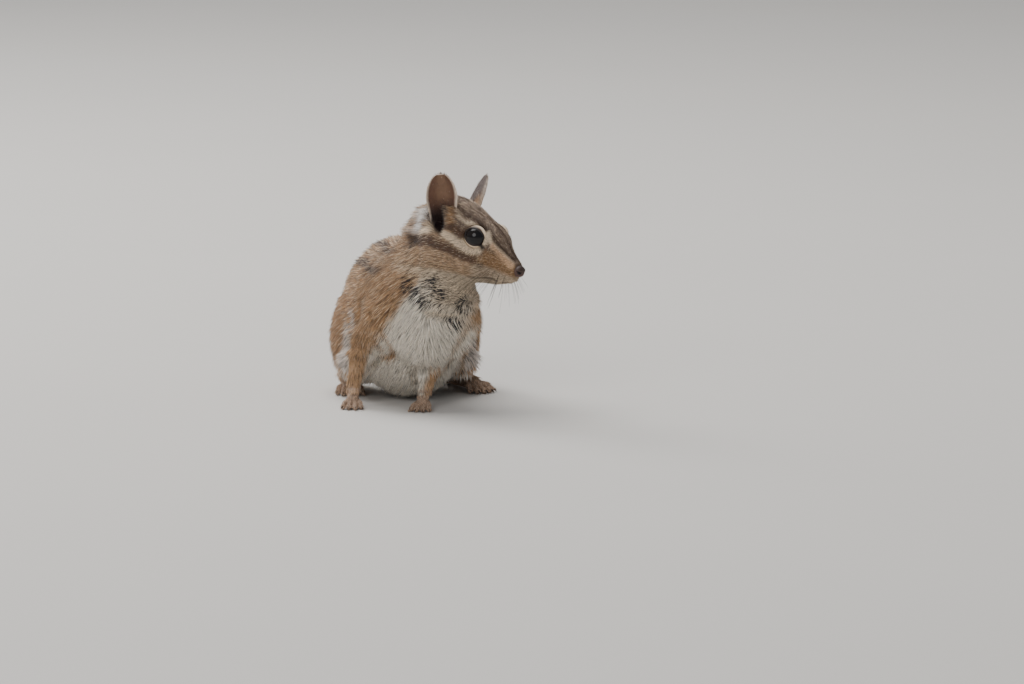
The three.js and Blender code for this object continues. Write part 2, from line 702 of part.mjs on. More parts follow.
// Rows of locks round the tail, the locks of each row between those of the row before
const rowAt = (row) => mix(0.04, 0.97, row / (LOCK_ROWS - 1));
const chance = seeded(11);
const LOCKS = Array.from({ length: LOCK_ROWS * LOCKS_AROUND }, (_, i) => {
  const row = Math.floor(i / LOCKS_AROUND);
  const shift = (row % 2) / 2 + 0.2 * (chance() - 0.5);
  return {
    row,
    t: rowAt(row),
    turn: (2 * Math.PI * ((i % LOCKS_AROUND) + shift)) / LOCKS_AROUND,
    length: LOCK_LENGTH * mix(0.92, 1.08, chance()),
    width: LOCK_WIDTH * mix(0.9, 1.1, chance()),
  };
});
const locksOf = ([from, to], by) =>
  joined(LOCKS.filter(({ row }) => row >= from && row < to).map((made) => lock(made, by)));

// Each length of the tail has its own rows of locks, and the next one starts just before its first row
const TAIL_ROWS = { base: [0, 3], middle: [3, 6], tip: [6, LOCK_ROWS] };
const rumpBox = boxAround([TAIL_ROOT], 16);
const clearOfRump = surfaceOf(grown(coat, GAP), ...rumpBox, TRUNK_CELL * 0.7);
let before = clearOfRump;
for (const [part, rows] of Object.entries(TAIL_ROWS)) {
  let length = tailCore();
  if (rows[0] > 0) length = behind(length, tailCut(rowAt(rows[0]) - 0.01));
  if (rows[1] < LOCK_ROWS) length = ahead(length, tailCut(rowAt(rows[1]) - 0.01));
  add("tail_" + part, onFloor(length.add(locksOf(rows, 0)).subtract(before)), COLOURS.tail);
  before = locksOf(rows, GAP);
}

// The origin is on the floor, under the middle of the whole animal
const whole = new THREE.Box3().setFromObject(group);
const middle = whole.getCenter(new THREE.Vector3());
group.position.set(-middle.x, -middle.y, 0);

export default group;
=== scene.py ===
"""A life-size chipmunk crouched on all fours: its skin, coat, eyes, ears, claws and whiskers.

Named lengths and the pelt rules are in millimetres, and meshes are in metres.
The animal faces -Y and its left is +X. Two frames are used: the hips' own, and the head's.
"""
import math

import bmesh
import bpy
import numpy as np
from mathutils import Matrix, Vector
from mathutils.bvhtree import BVHTree


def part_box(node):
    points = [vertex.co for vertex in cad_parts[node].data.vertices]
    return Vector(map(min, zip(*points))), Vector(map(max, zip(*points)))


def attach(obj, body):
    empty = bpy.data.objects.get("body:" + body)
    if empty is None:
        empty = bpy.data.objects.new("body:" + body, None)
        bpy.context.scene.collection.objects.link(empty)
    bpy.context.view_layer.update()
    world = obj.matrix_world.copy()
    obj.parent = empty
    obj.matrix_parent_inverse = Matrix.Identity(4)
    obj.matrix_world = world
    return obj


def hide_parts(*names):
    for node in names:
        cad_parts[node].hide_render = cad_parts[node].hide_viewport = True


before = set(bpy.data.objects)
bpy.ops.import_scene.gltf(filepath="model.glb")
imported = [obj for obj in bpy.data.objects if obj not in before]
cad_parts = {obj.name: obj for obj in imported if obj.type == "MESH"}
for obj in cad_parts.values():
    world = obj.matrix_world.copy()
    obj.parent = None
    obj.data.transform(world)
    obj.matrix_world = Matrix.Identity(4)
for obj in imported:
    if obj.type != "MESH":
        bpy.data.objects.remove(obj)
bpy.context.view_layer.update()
MM = 0.001
SIDES = (("left", 1), ("right", -1))

# Places in the head's own frame: forward to the nose, to its left, up
EYE_IN_HEAD = (4.302, 0.0, 4.074)
NOSE_IN_HEAD = (22.2, 0.0, -2.2)
HEAD_FROM_HIPS = (18.2, -49.5, 64.0)


def middle(node):
    low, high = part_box(node)
    return (Vector(low) + Vector(high)) / 2


def head_matrix():
    """The head's frame, found from where the eyes and the nose lie."""
    eyes = [middle("eye_left"), middle("eye_right")]
    left = (eyes[0] - eyes[1]).normalized()
    between = (eyes[0] + eyes[1]) / 2
    reach = middle("nose") - between
    reach = (reach - left * reach.dot(left)).normalized()
    square = reach.cross(left)
    drop = math.atan2(NOSE_IN_HEAD[2] - EYE_IN_HEAD[2], NOSE_IN_HEAD[0] - EYE_IN_HEAD[0])
    forward = reach * math.cos(drop) - square * math.sin(drop)
    up = reach * math.sin(drop) + square * math.cos(drop)
    origin = between - forward * EYE_IN_HEAD[0] * MM - up * EYE_IN_HEAD[2] * MM
    made = Matrix((forward, left, up)).transposed().to_4x4()
    made.translation = origin
    return made


HEAD = head_matrix()
HIPS = HEAD.translation - Vector(HEAD_FROM_HIPS) * MM
HEAD_AXES = np.array(HEAD.to_3x3())


def in_head(places):
    """Places in metres as millimetres in the head's frame."""
    return (places - np.array(HEAD.translation)) @ HEAD_AXES / MM


def in_hips(places):
    """Places in metres as millimetres from the hips."""
    return (places - np.array(HIPS)) / MM


def smooth(low, high, x):
    """0 before low, 1 past high, and a soft step between. It falls where high is the lesser."""
    t = np.clip((x - low) / (high - low), 0.0, 1.0)
    return t * t * (3.0 - 2.0 * t)


# Tail
TAIL_LENGTH = 98.0
TAIL_ROOT = (1.0, 17.0, 9.0)
TAIL_HEADING = math.radians(80)
TAIL_SWAY = 5.0
TAIL_BRUSH = 10.5
TAIL_REST = 5.0
TAIL_CORE = 0.42
TAIL_FLATNESS = 0.7
TAIL_WAY = np.array([math.cos(TAIL_HEADING), math.sin(TAIL_HEADING), 0.0])
TAIL_SIDE = np.array([-TAIL_WAY[1], TAIL_WAY[0], 0.0])


def tail_point(t):
    """The tail's middle line from the hips, in millimetres: t is 0 at its root and 1 at its end."""
    t = np.asarray(t, dtype=float)
    sway = TAIL_SWAY * np.sin(2 * math.pi * t)
    flat = np.array(TAIL_ROOT[:2] + (0.0,)) + TAIL_LENGTH * t[..., None] * TAIL_WAY
    flat = flat + sway[..., None] * TAIL_SIDE
    flat[..., 2] = TAIL_ROOT[2] + (TAIL_REST - TAIL_ROOT[2]) * np.minimum(1.0, t * 5)
    return flat


def tail_brush(t):
    """The reach of the tail's hairs from its middle line."""
    narrowing = np.sqrt(np.maximum(0.0, 1 - np.maximum(0.0, (t - 0.6) / 0.62) ** 2))
    return TAIL_BRUSH * (0.75 + 0.25 * np.minimum(1.0, t * 3)) * narrowing


# Eyes, ears, nose and digits
EYE_RADIUS = 4.2
EYE_OUT = 7.5
EYE_WAY = (0.22, 0.96, 0.16)
EAR_AT = (-9.2, 9.8, 3.4)
EAR_WAYS = {"left": (-0.28, 0.42, 0.83), "right": (-0.35, 0.2, 0.92)}
EAR_OPENS = (0.6, 0.78, 0.1)
EAR_HEIGHT = 18.8
EAR_HALF_WIDTH = 5.9
EAR_THICKNESS = 0.9
EAR_CUP = 4.0
EAR_TIP_CUP = 0.6
CONCHA_AT = (-9.6, 12.0, 4.6)
CONCHA_RADII = (3.9, 6.0)
CONCHA_DEPTH = 5.5
CONCHA_REACH = 9.0
NOSE_RADII = (2.3, 2.7, 2.2)
MOUTH = [(4.5, 8.6, -11.6), (7.6, 7.6, -10.8), (9.6, 6.1, -10.4), (12.5, 5.0, -9.3), (16.5, 4.2, -8.0),
         (20, 2.8, -7.3), (22.4, 0, -6.9)]
#           count, length, radius, spread in degrees, claw
FINGER = (4, 5.6, 1.0, 11, 2.0)
TOE = (5, 7.4, 1.15, 8, 2.2)
DIGIT_SPACING = 1.55
DIGIT_ROOT = 2.4
DIGIT_STEPS = 22
# reach as a share of the length, height and thickness as shares of the radius: knuckles, then the pad
DIGIT_SHAPE = [(0.1, 2.15, 1.08), (0.35, 2.0, 1.04), (0.58, 1.55, 0.84), (0.78, 1.05, 0.98),
               (0.94, 0.98, 0.86), (1.02, 0.95, 0.3)]
LIMB_ENDS = {
    "left": {"wrist": (1.2, -40, 7.6), "knuckle": (-0.6, -44.6, 2.6), "heel": (19.6, 15, 3.2),
             "ball": (26.6, -5.5, 2.6)},
    "right": {"wrist": (-24.4, -30, 8), "knuckle": (-25.4, -34.8, 2.6), "heel": (-19, 17, 3.2),
              "ball": (-21.5, -2, 2.6)},
}


def folded(head):
    """Both sides of the head laid on its left side."""
    return np.column_stack([head[:, 0], np.abs(head[:, 1]), head[:, 2]])


def off_centre(places, at, radii):
    """How far each place is from a spot's middle, where 1 is the spot's edge."""
    return np.linalg.norm((places - np.array(at)) / np.array(radii), axis=1)


def unit(v):
    v = np.asarray(v, dtype=float)
    return v / np.linalg.norm(v)


def sided(v, side):
    """A place on the left side, or its mirror image on the right."""
    return np.array([v[0], v[1] * side, v[2]], dtype=float)


def ear_axes(side_name, side):
    """The ear's way up, the way it opens, and the way across it."""
    up = unit(sided(EAR_WAYS[side_name], side))
    opens = sided(EAR_OPENS, side)
    opens = unit(opens - up * opens.dot(up))
    return up, opens, np.cross(up, opens)


def eye_centre(side):
    return np.array([EYE_IN_HEAD[0], EYE_OUT * side, EYE_IN_HEAD[2]])


def head_places(points):
    """Places in the head's frame, in millimetres, as places in metres."""
    return np.asarray(points) @ HEAD_AXES.T * MM + np.array(HEAD.translation)


# Meshes
def mesh_of(name, places, faces):
    made = bpy.data.meshes.new(name)
    made.from_pydata([tuple(p) for p in places], [], [tuple(f) for f in faces])
    made.validate()
    made.update()
    return made


def piece_of(name, mesh, material=None, shade=True):
    made = bpy.data.objects.new(name, mesh)
    bpy.context.scene.collection.objects.link(made)
    if material is not None:
        mesh.materials.clear()
        mesh.materials.append(material)
    if shade:
        mesh.shade_smooth()
    return made


def places_of(mesh):
    out = np.empty(len(mesh.vertices) * 3)
    mesh.vertices.foreach_get("co", out)
    return out.reshape(-1, 3)


def normals_of(mesh):
    out = np.empty(len(mesh.vertices) * 3)
    mesh.vertex_normals.foreach_get("vector", out)
    return out.reshape(-1, 3)


def edges_of(mesh):
    out = np.empty(len(mesh.edges) * 2, dtype=np.int32)
    mesh.edges.foreach_get("vertices", out)
    return out.reshape(-1, 2)


def move_to(mesh, places):
    mesh.vertices.foreach_set("co", places.ravel())
    mesh.update()


def averaged(values, edges, rounds, share=0.5):
    """Values at vertices, each moved towards the mean of its neighbours'."""
    count = np.bincount(edges.ravel(), minlength=len(values)).astype(float)
    for _ in range(rounds):
        total = np.zeros_like(values)
        for column in range(values.shape[1]):
            total[:, column] = np.bincount(
                edges[:, 0], values[edges[:, 1], column], len(values)
            ) + np.bincount(edges[:, 1], values[edges[:, 0], column], len(values))
        mean = total / np.maximum(count, 1)[:, None]
        values = values + (mean - values) * share
    return values


def tube(points, widths, heights, sides):
    """A closed tube through points, as places and faces."""
    points = np.asarray(points, dtype=float)
    along = np.gradient(points, axis=0)
    along /= np.linalg.norm(along, axis=1)[:, None]
    across = np.cross(along, (0.0, 0.0, 1.0))
    across /= np.linalg.norm(across, axis=1)[:, None]
    over = np.cross(across, along)
    turns = np.arange(sides) * 2 * math.pi / sides
    rings = (
        points[:, None]
        + across[:, None] * (np.cos(turns)[None, :, None] * np.asarray(widths)[:, None, None])
        + over[:, None] * (np.sin(turns)[None, :, None] * np.asarray(heights)[:, None, None])
    )
    places = np.concatenate([rings.reshape(-1, 3), points[:1], points[-1:]])
    faces = []
    last = len(points) * sides
    for k in range(sides):
        following = (k + 1) % sides
        for i in range(len(points) - 1):
            a, b = i * sides + k, i * sides + following
            faces.append((a, a + sides, b + sides, b))
        faces.append((last, k, following))
        faces.append((last + 1, last - sides + following, last - sides + k))
    return places, faces


def outward_facing(mesh):
    """The same mesh with its faces turned outwards."""
    shape = bmesh.new()
    shape.from_mesh(mesh)
    bmesh.ops.recalc_face_normals(shape, faces=shape.faces)
    shape.to_mesh(mesh)
    shape.free()
    mesh.update()
    return mesh


# Skin
FLESH = ["head", "neck", "chest", "belly", "rump"] + [
    part + "_" + side
    for side, _ in SIDES
    for part in ("upper_arm", "forearm", "hand", "thigh", "shank", "foot")
]
SWELL = 0.4 * MM
VOXEL = 0.6 * MM
# rounds of averaging: the body's shape and the paws', the step between them, how deep the skin lies,
# the coat's fields, and the colours of the nape
BODY_ROUNDS = 20
PAW_ROUNDS = 3
STEP_ROUNDS = 4
DEPTH_ROUNDS = 8
FIELD_ROUNDS = 12
NAPE_ROUNDS = 14
# share of the coat's own height by which the skin lies below the solids
COAT_DEPTH = 0.8
TAIL = len(FLESH)
#              length, width, lift in degrees
FUR = {
    "head": (3.0, 0.19, 17),
    "neck": (4.8, 0.24, 22),
    "chest": (5.6, 0.27, 25),
    "belly": (5.4, 0.27, 21),
    "rump": (5.4, 0.27, 21),
    "upper_arm": (4.4, 0.25, 21),
    "forearm": (3.4, 0.22, 15),
    "hand": (1.5, 0.15, 12),
    "thigh": (5.0, 0.26, 20),
    "shank": (3.8, 0.24, 15),
    "foot": (1.7, 0.16, 12),
    "tail": (14.0, 0.36, 24),
}
# how strongly the coat is combed away from each eye
PARTING = 2.2


def part_name(index):
    return "tail" if index == TAIL else FLESH[index].replace("_left", "").replace("_right", "")


def flesh_mesh():
    """All flesh nodes in one mesh, each swelled so that neighbours run into each other."""
    places, faces, labels = [], [], []
    start = 0
    for index, node in enumerate(FLESH):
        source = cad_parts[node].data.copy()
        piece = bpy.data.objects.new("part", source)
        bpy.context.scene.collection.objects.link(piece)
        weld = piece.modifiers.new("weld", "WELD")
        weld.merge_threshold = 1e-6
        bpy.context.view_layer.update()
        welded = bpy.data.meshes.new_from_object(
            piece.evaluated_get(bpy.context.evaluated_depsgraph_get())
        )
        here = places_of(welded)
        swell = np.full(len(here), SWELL)
        if part_name(index) in ("hand", "foot"):
            swell = SWELL * smooth(4.0, 6.0, here[:, 2] / MM)
        places.append(here + normals_of(welded) * swell[:, None])
        faces += [tuple(v + start for v in p.vertices) for p in welded.polygons]
        labels += [index] * len(welded.polygons)
        start += len(welded.vertices)
        bpy.data.objects.remove(piece)
    ts = np.linspace(0.0, 1.0, 30)
    half = tail_brush(ts) * TAIL_CORE
    core, core_faces = tube(tail_point(ts), half, half * TAIL_FLATNESS, 16)
    places.append(core * MM + np.array(HIPS))
    faces += [tuple(v + start for v in f) for f in core_faces]
    labels += [TAIL] * len(core_faces)
    return mesh_of("flesh", np.concatenate(places), faces), labels


def remeshed(mesh, size):
    piece = piece_of("remeshing", mesh, shade=False)
    change = piece.modifiers.new("remesh", "REMESH")
    change.mode = "VOXEL"
    change.voxel_size = size
    bpy.context.view_layer.update()
    made = bpy.data.meshes.new_from_object(
        piece.evaluated_get(bpy.context.evaluated_depsgraph_get())
    )
    bpy.data.objects.remove(piece)
    return made


# The way the coat lies on each part: to the left, towards its own side, back and up
COAT_WAYS = {
    "neck": (-0.25, 0.25, 0.6, -0.65),
    "chest": (0.0, 0.4, 0.35, -0.85),
    "belly": (0.0, 0.1, 0.85, -0.4),
    "rump": (0.0, 0.1, 0.8, -0.6),
    "upper_arm": (0.0, 0.2, 0.35, -0.9),
    "forearm": (0.0, 0.0, -0.05, -1.0),
    "hand": (-0.1, 0.0, -1.0, -0.3),
    "thigh": (0.0, 0.1, 0.55, -0.8),
    "shank": (0.0, 0.0, 0.5, -0.8),
    "foot": (0.0, 0.1, -1.0, -0.15),
    "tail": (TAIL_WAY[0], 0.0, TAIL_WAY[1], TAIL_WAY[2]),
}


def eye_gap(head):
    """How far each place is from the middle of the nearer eyeball."""
    return np.minimum(*(np.linalg.norm(head - eye_centre(s), axis=1) for _, s in SIDES))


RUFF_AT = (-18.5, 10.5, 1.5)
RUFF_RADII = (4.2, 6.0, 6.5)
RUFF_LONGER = 1.6
RUFF_LIFT = 18


def white_ruff(head):
    """The white patch behind each ear, as a share from 0 to 1."""
    return smooth(1.15, 0.8, off_centre(folded(head), RUFF_AT, RUFF_RADII))


def concha_share(head):
    """How far inside the hollow at the foot of an ear each place lies: 1 at its middle, 0 outside."""
    share = np.zeros(len(head))
    for name, s in SIDES:
        up, opens, across = ear_axes(name, s)
        gap = head - sided(CONCHA_AT, s)
        r = np.hypot(gap @ across / CONCHA_RADII[0], gap @ up / CONCHA_RADII[1])
        share = np.maximum(share, (1 - np.minimum(r, 1)) * (np.abs(gap @ opens) < CONCHA_REACH))
    return share


def mouth_gap(head):
    """The distance from the line of the mouth, and how far along it the nearest place is."""
    return distance_to(folded(head), MOUTH)


def coat_fields(mesh, labels_tree, labels):
    """For each vertex of the skin: its part, and the coat's length, width, lift and lie there."""
    places = places_of(mesh)
    normals = normals_of(mesh)
    edges = edges_of(mesh)
    part = np.array([labels[labels_tree.find_nearest(Vector(p))[2]] for p in places])
    hips, head = in_hips(places), in_head(places)
    sizes = np.array([FUR[part_name(i)] for i in range(TAIL + 1)])[part]
    side = np.sign(hips[:, 0])
    lie = np.zeros_like(places)
    for index in range(TAIL + 1):
        name = part_name(index)
        mine = part == index
        if name == "head":
            outward = np.sign(head[mine, 1:2]) * smooth(0, 6, np.abs(head[mine, 1:2]))
            back = -np.ones((mine.sum(), 1))
            way = np.concatenate([back, outward * 0.25, -0.25 - 0.1 * np.abs(outward)], axis=1)
            for _, s in SIDES:
                from_eye = head[mine] - eye_centre(s)
                gap = np.linalg.norm(from_eye, axis=1)
                way += from_eye / gap[:, None] * (PARTING * smooth(8.5, 5.0, gap))[:, None]
            lie[mine] = way @ HEAD_AXES.T
            continue
        left, outward, back, up = COAT_WAYS[name]
        for s in (-1, 1):
            lie[mine & (side == s)] = (left + outward * s, back, up)
    on_head = part == FLESH.index("head")
    near_nose = smooth(-6, 20, head[:, 0]) * on_head
    near_eye = smooth(9.0, 5.0, eye_gap(head)) * on_head
    sizes[:, 0] *= (1 - 0.7 * near_nose) * (1 - 0.45 * near_eye)
    sizes[:, 1] *= 1 - 0.3 * np.maximum(near_nose, near_eye)
    ruff = white_ruff(head) * np.isin(part, (FLESH.index("head"), FLESH.index("neck")))
    sizes[:, 0] += RUFF_LONGER * ruff
    sizes[:, 2] += RUFF_LIFT * ruff
    fields = averaged(np.concatenate([sizes, lie], axis=1), edges, FIELD_ROUNDS)
    sizes, lie = fields[:, :3], fields[:, 3:]
    lie -= normals * np.sum(lie * normals, axis=1)[:, None]
    lie /= np.maximum(np.linalg.norm(lie, axis=1), 1e-9)[:, None]
    return part, sizes, lie


def face_details(places, normals):
    """The hollows at the feet of the ears, and the line of the mouth with its lips."""
    head = in_head(places)
    share = concha_share(head)
    for _, s in SIDES:
        mine = np.sign(head[:, 1]) == s
        opens = unit(sided(EAR_OPENS, s)) @ HEAD_AXES.T
        dig = CONCHA_DEPTH * MM * smooth(0.0, 0.75, share) * mine
        places = places - opens * dig[:, None]
    gap, along = mouth_gap(head)
    fade = smooth(0.0, 0.15, along)
    lips = 0.3 * np.exp(-(((gap - 0.9) / 0.5) ** 2)) - 0.75 * np.exp(-((gap / 0.4) ** 2))
    return places + normals * (lips * fade * MM)[:, None]


def smoothed_line(points, count):
    """A bent line through points, as a Catmull-Rom curve."""
    p = np.asarray(points, dtype=float)
    p = np.concatenate([[2 * p[0] - p[1]], p, [2 * p[-1] - p[-2]]])
    t = np.linspace(0, len(p) - 3 - 1e-9, count)
    i = t.astype(int)
    u = (t - i)[:, None]
    a, b, c, d = p[i], p[i + 1], p[i + 2], p[i + 3]
    bend = (2 * a - 5 * b + 4 * c - d) * u**2 + (3 * b - a - 3 * c + d) * u**3
    return 0.5 * (2 * b + (c - a) * u + bend)


def digit_frames():
    """Each finger and toe: its part, the place it leaves, its heading and its sizes."""
    for side_name, _ in SIDES:
        ends = LIMB_ENDS[side_name]
        for part, start, end, kind in (
            ("hand_", "wrist", "knuckle", FINGER),
            ("foot_", "heel", "ball", TOE),
        ):
            heading = math.atan2(ends[end][1] - ends[start][1], ends[end][0] - ends[start][0])
            across = np.array([-math.sin(heading), math.cos(heading), 0.0])
            count, length, radius, spread, claw = kind
            for k in range(count):
                off = k - (count - 1) / 2
                base = np.array(ends[end], dtype=float) + across * off * radius * DIGIT_SPACING
                turned = heading + math.radians(spread * off)
                yield part + side_name, base, turned, length * (1 - 0.1 * off * off), radius, claw


def along_digit(base, heading, profile):
    """Points from (reach, height) pairs, in metres."""
    way = np.array([math.cos(heading), math.sin(heading), 0.0])
    flat = np.array([base[0], base[1], 0.0])
    points = [flat + way * reach + np.array([0.0, 0.0, height]) for reach, height in profile]
    return np.array(points) * MM + np.array([HIPS[0], HIPS[1], 0.0])


def digit_tubes():
    """Fingers and toes with their knuckles and pads, each with its part's number."""
    for node, base, heading, length, r, _ in digit_frames():
        profile = [(-DIGIT_ROOT, base[2])]
        profile += [(reach * length, height * r) for reach, height, _ in DIGIT_SHAPE]
        line = smoothed_line(along_digit(base, heading, profile), DIGIT_STEPS)
        thickness = [[1.0]] + [[thick] for _, _, thick in DIGIT_SHAPE]
        size = smoothed_line(thickness, DIGIT_STEPS)[:, 0] * r * MM
        places, faces = tube(line, size * 0.94, size, 12)
        places[:, 2] = np.maximum(places[:, 2], 0.05 * MM)
        yield FLESH.index(node), places, faces


def make_skin():
    """The whole skin in one mesh, with each vertex's part and the coat's sizes and lie there."""
    flesh, labels = flesh_mesh()
    tree = BVHTree.FromPolygons(
        [v.co for v in flesh.vertices], [tuple(p.vertices) for p in flesh.polygons]
    )
    skin = remeshed(flesh, VOXEL)
    edges = edges_of(skin)
    places = places_of(skin)
    part, sizes, _ = coat_fields(skin, tree, labels)
    small = np.isin([part_name(i) for i in part], ("hand", "foot"))[:, None].astype(float)
    small = averaged(small, edges, STEP_ROUNDS)
    softened = averaged(places, edges, BODY_ROUNDS)
    places = averaged(places, edges, PAW_ROUNDS) * small + softened * (1 - small)
    move_to(skin, places)
    depth = SWELL + sizes[:, 0] * MM * np.sin(np.radians(sizes[:, 2])) * COAT_DEPTH
    depth = np.where(part == TAIL, 0.0, depth)
    depth = averaged(depth[:, None], edges, DEPTH_ROUNDS)
    places = places - normals_of(skin) * depth
    places = face_details(places, normals_of(skin))
    places[:, 2] = np.maximum(places[:, 2], 0.0)
    move_to(skin, places)
    part, sizes, lie = coat_fields(skin, tree, labels)
    all_places, all_faces = [places], [tuple(p.vertices) for p in skin.polygons]
    start = len(places)
    # the coat on a finger or a toe lies along it and is a little finer
    for index, digit, faces in digit_tubes():
        length, width, lift = FUR[part_name(index)]
        along = unit(digit[-1] - digit[-2])
        all_places.append(digit)
        all_faces += [tuple(v + start for v in f) for f in faces]
        start += len(digit)
        part = np.concatenate([part, np.full(len(digit), index)])
        finer = np.tile((length * 0.8, width * 0.9, lift), (len(digit), 1))
        sizes = np.concatenate([sizes, finer])
        lie = np.concatenate([lie, np.tile(along, (len(digit), 1))])
    skin = mesh_of("skin", np.concatenate(all_places), all_faces)
    return skin, part, sizes, lie


# Pelt colours, as linear red, green and blue
def colour(red, green, blue):
    """A colour seen in daylight as 0 to 255, made linear."""
    c = np.array([red, green, blue]) / 255
    return np.where(c <= 0.04045, c / 12.92, ((c + 0.055) / 1.055) ** 2.4)


CROWN = colour(128, 108, 92)
CROWN_DARK = colour(74, 54, 42)
CREAM = colour(240, 218, 190)
PEACH = colour(222, 182, 144)
WHITE = colour(244, 240, 236)
UMBER = colour(100, 74, 56)
SOOT = colour(62, 52, 48)
OCHRE = colour(164, 128, 92)
TAN = colour(188, 156, 124)
MUZZLE = colour(206, 184, 158)
RUST = colour(184, 145, 106)
HAUNCH = colour(182, 140, 102)
CHEST = colour(240, 232, 218)
THROAT = colour(210, 192, 168)
BACK_DARK = colour(72, 58, 54)
BACK_PALE = colour(184, 154, 124)
BUFF = colour(200, 162, 124)
PAW = colour(208, 178, 154)
SLATE = colour(58, 56, 58)
PALE_TIP = colour(236, 214, 184)
EAR_INSIDE = colour(92, 62, 46)
# painted shade in the ears' hollows
EAR_HOLLOW_SHADE = colour(40, 26, 24)
EAR_BACK = colour(112, 98, 92)
# the ear's pale edge, partly painted rim light
EAR_EDGE_AND_RIM_LIGHT = colour(232, 212, 194)
LID = colour(30, 21, 18)
TAIL_ROOT_TONE = colour(156, 122, 92)
TAIL_BAND = colour(52, 42, 38)
TAIL_FROST = colour(206, 190, 170)
NOSE_LEATHER = colour(84, 62, 56)
# painted shade in the nostrils
NOSTRIL_SHADE = colour(20, 12, 12)
NOSE_TOP = colour(58, 42, 36)
CLAW_HORN = colour(58, 44, 36)
WHISKER_DARK = colour(46, 38, 34)
EYE_BLACK = (0.003, 0.003, 0.004)
EYE_BROWN = (0.012, 0.007, 0.005)


def distance_to(points, line):
    """The distance from each point to a bent line, and how far along it the nearest place is."""
    line = np.asarray(line, dtype=float)
    best = np.full(len(points), 1e9)
    along = np.zeros(len(points))
    spans = np.linalg.norm(np.diff(line, axis=0), axis=1)
    total = spans.sum()
    done = 0.0
    for a, b, span in zip(line[:-1], line[1:], spans):
        t = np.clip((points - a) @ (b - a) / span**2, 0, 1)
        d = np.linalg.norm(points - (a + t[:, None] * (b - a)), axis=1)
        nearer = d < best
        best[nearer] = d[nearer]
        along[nearer] = (done + t[nearer] * span) / total
        done += span
    return best, along


# Head markings: each a line on the face, its half-width at both ends, and its colour
HEAD_LINES = [
    ([(-12, 0, 12.9), (-4, 0, 12.6), (6, 0, 10), (14, 0, 5), (19, 0, 2.2)], (1.0, 0.7), CROWN_DARK),
    ([(-11.7, 4.5, 12.5), (-5.0, 6.1, 11.2), (-1.0, 6.8, 9.8), (2.5, 6.0, 9.2), (6.5, 6.2, 8.1),
      (10.3, 6.0, 6.3), (13.1, 4.7, 4.4), (16.3, 3.0, 2.5), (19.4, 1.8, 1.4)], (1.1, 0.9), CROWN_DARK),
    ([(-9.0, 7.0, 11.5), (-7.0, 8.4, 10.0), (-5.4, 9.9, 7.9), (-4.0, 11.0, 5.3), (-3.2, 11.4, 3.4)],
     (1.6, 1.3), OCHRE),
    ([(-3.4, 10.9, 4.6), (-1.4, 10.8, 4.0), (0.8, 10.6, 3.2)], (1.5, 1.3), UMBER),
    ([(-5.2, 7.4, 10.4), (-2.5, 8.8, 8.3), (-0.4, 9.1, 7.6), (2.2, 7.9, 8.4), (5.5, 7.8, 8.4),
      (8.1, 8.2, 7.2), (10.6, 7.5, 5.4), (13.2, 5.9, 3.3), (16.4, 4.2, 1.4), (19.8, 3.2, -0.1)],
     (0.75, 1.25), CREAM),
    ([(11.5, 6.9, 4.4), (13.2, 5.7, 2.8), (16.4, 4.1, 0.9), (20.2, 3.2, -0.8)], (0.6, 1.2), PEACH),
    ([(-16.5, 12.4, -1.0), (-11.7, 13.9, 0.0), (-9.0, 13.4, 1.2), (-5.2, 12.5, 1.8), (-2.4, 11.8, 1.1),
      (0.7, 11.3, 0.1), (3.6, 10.9, -0.6), (6.6, 10.2, -0.6), (8.7, 9.2, 0.3)], (1.7, 1.05), CREAM),
    ([(-21.1, 10.5, -4.3), (-14.9, 13.7, -3.8), (-10.2, 14.3, -3.2), (-6.2, 13.9, -3.0),
      (-2.5, 12.8, -3.0), (1.3, 11.8, -3.2), (5.3, 11.1, -3.5), (8.7, 9.9, -3.4)], (2.6, 1.5), UMBER),
]
# Spots on the head, each its middle and its radii
TEAR_DUCT = ((8.6, 8.9, 2.2), (1.3, 1.6, 0.9))
CHEEK_SPOT = ((10.9, 8.2, -4.5), (1.5, 2.0, 1.0))
BELOW_EAR = ((-16.0, 13.4, -5.2), (4.2, 4.0, 2.6))
# Places from the hips where the throat's dark underfur shows
THROAT_PATCHES = [(-5.5, -53.0, 50.0), (-3.1, -54.6, 47.5), (-0.2, -55.6, 44.5), (3.8, -54.8, 49.2),
                  (5.7, -55.3, 45.4), (14.4, -52.1, 40.8), (9.7, -54.6, 35.6)]


def mixed(base, tone, share):
    return base + (tone - base) * share[:, None]


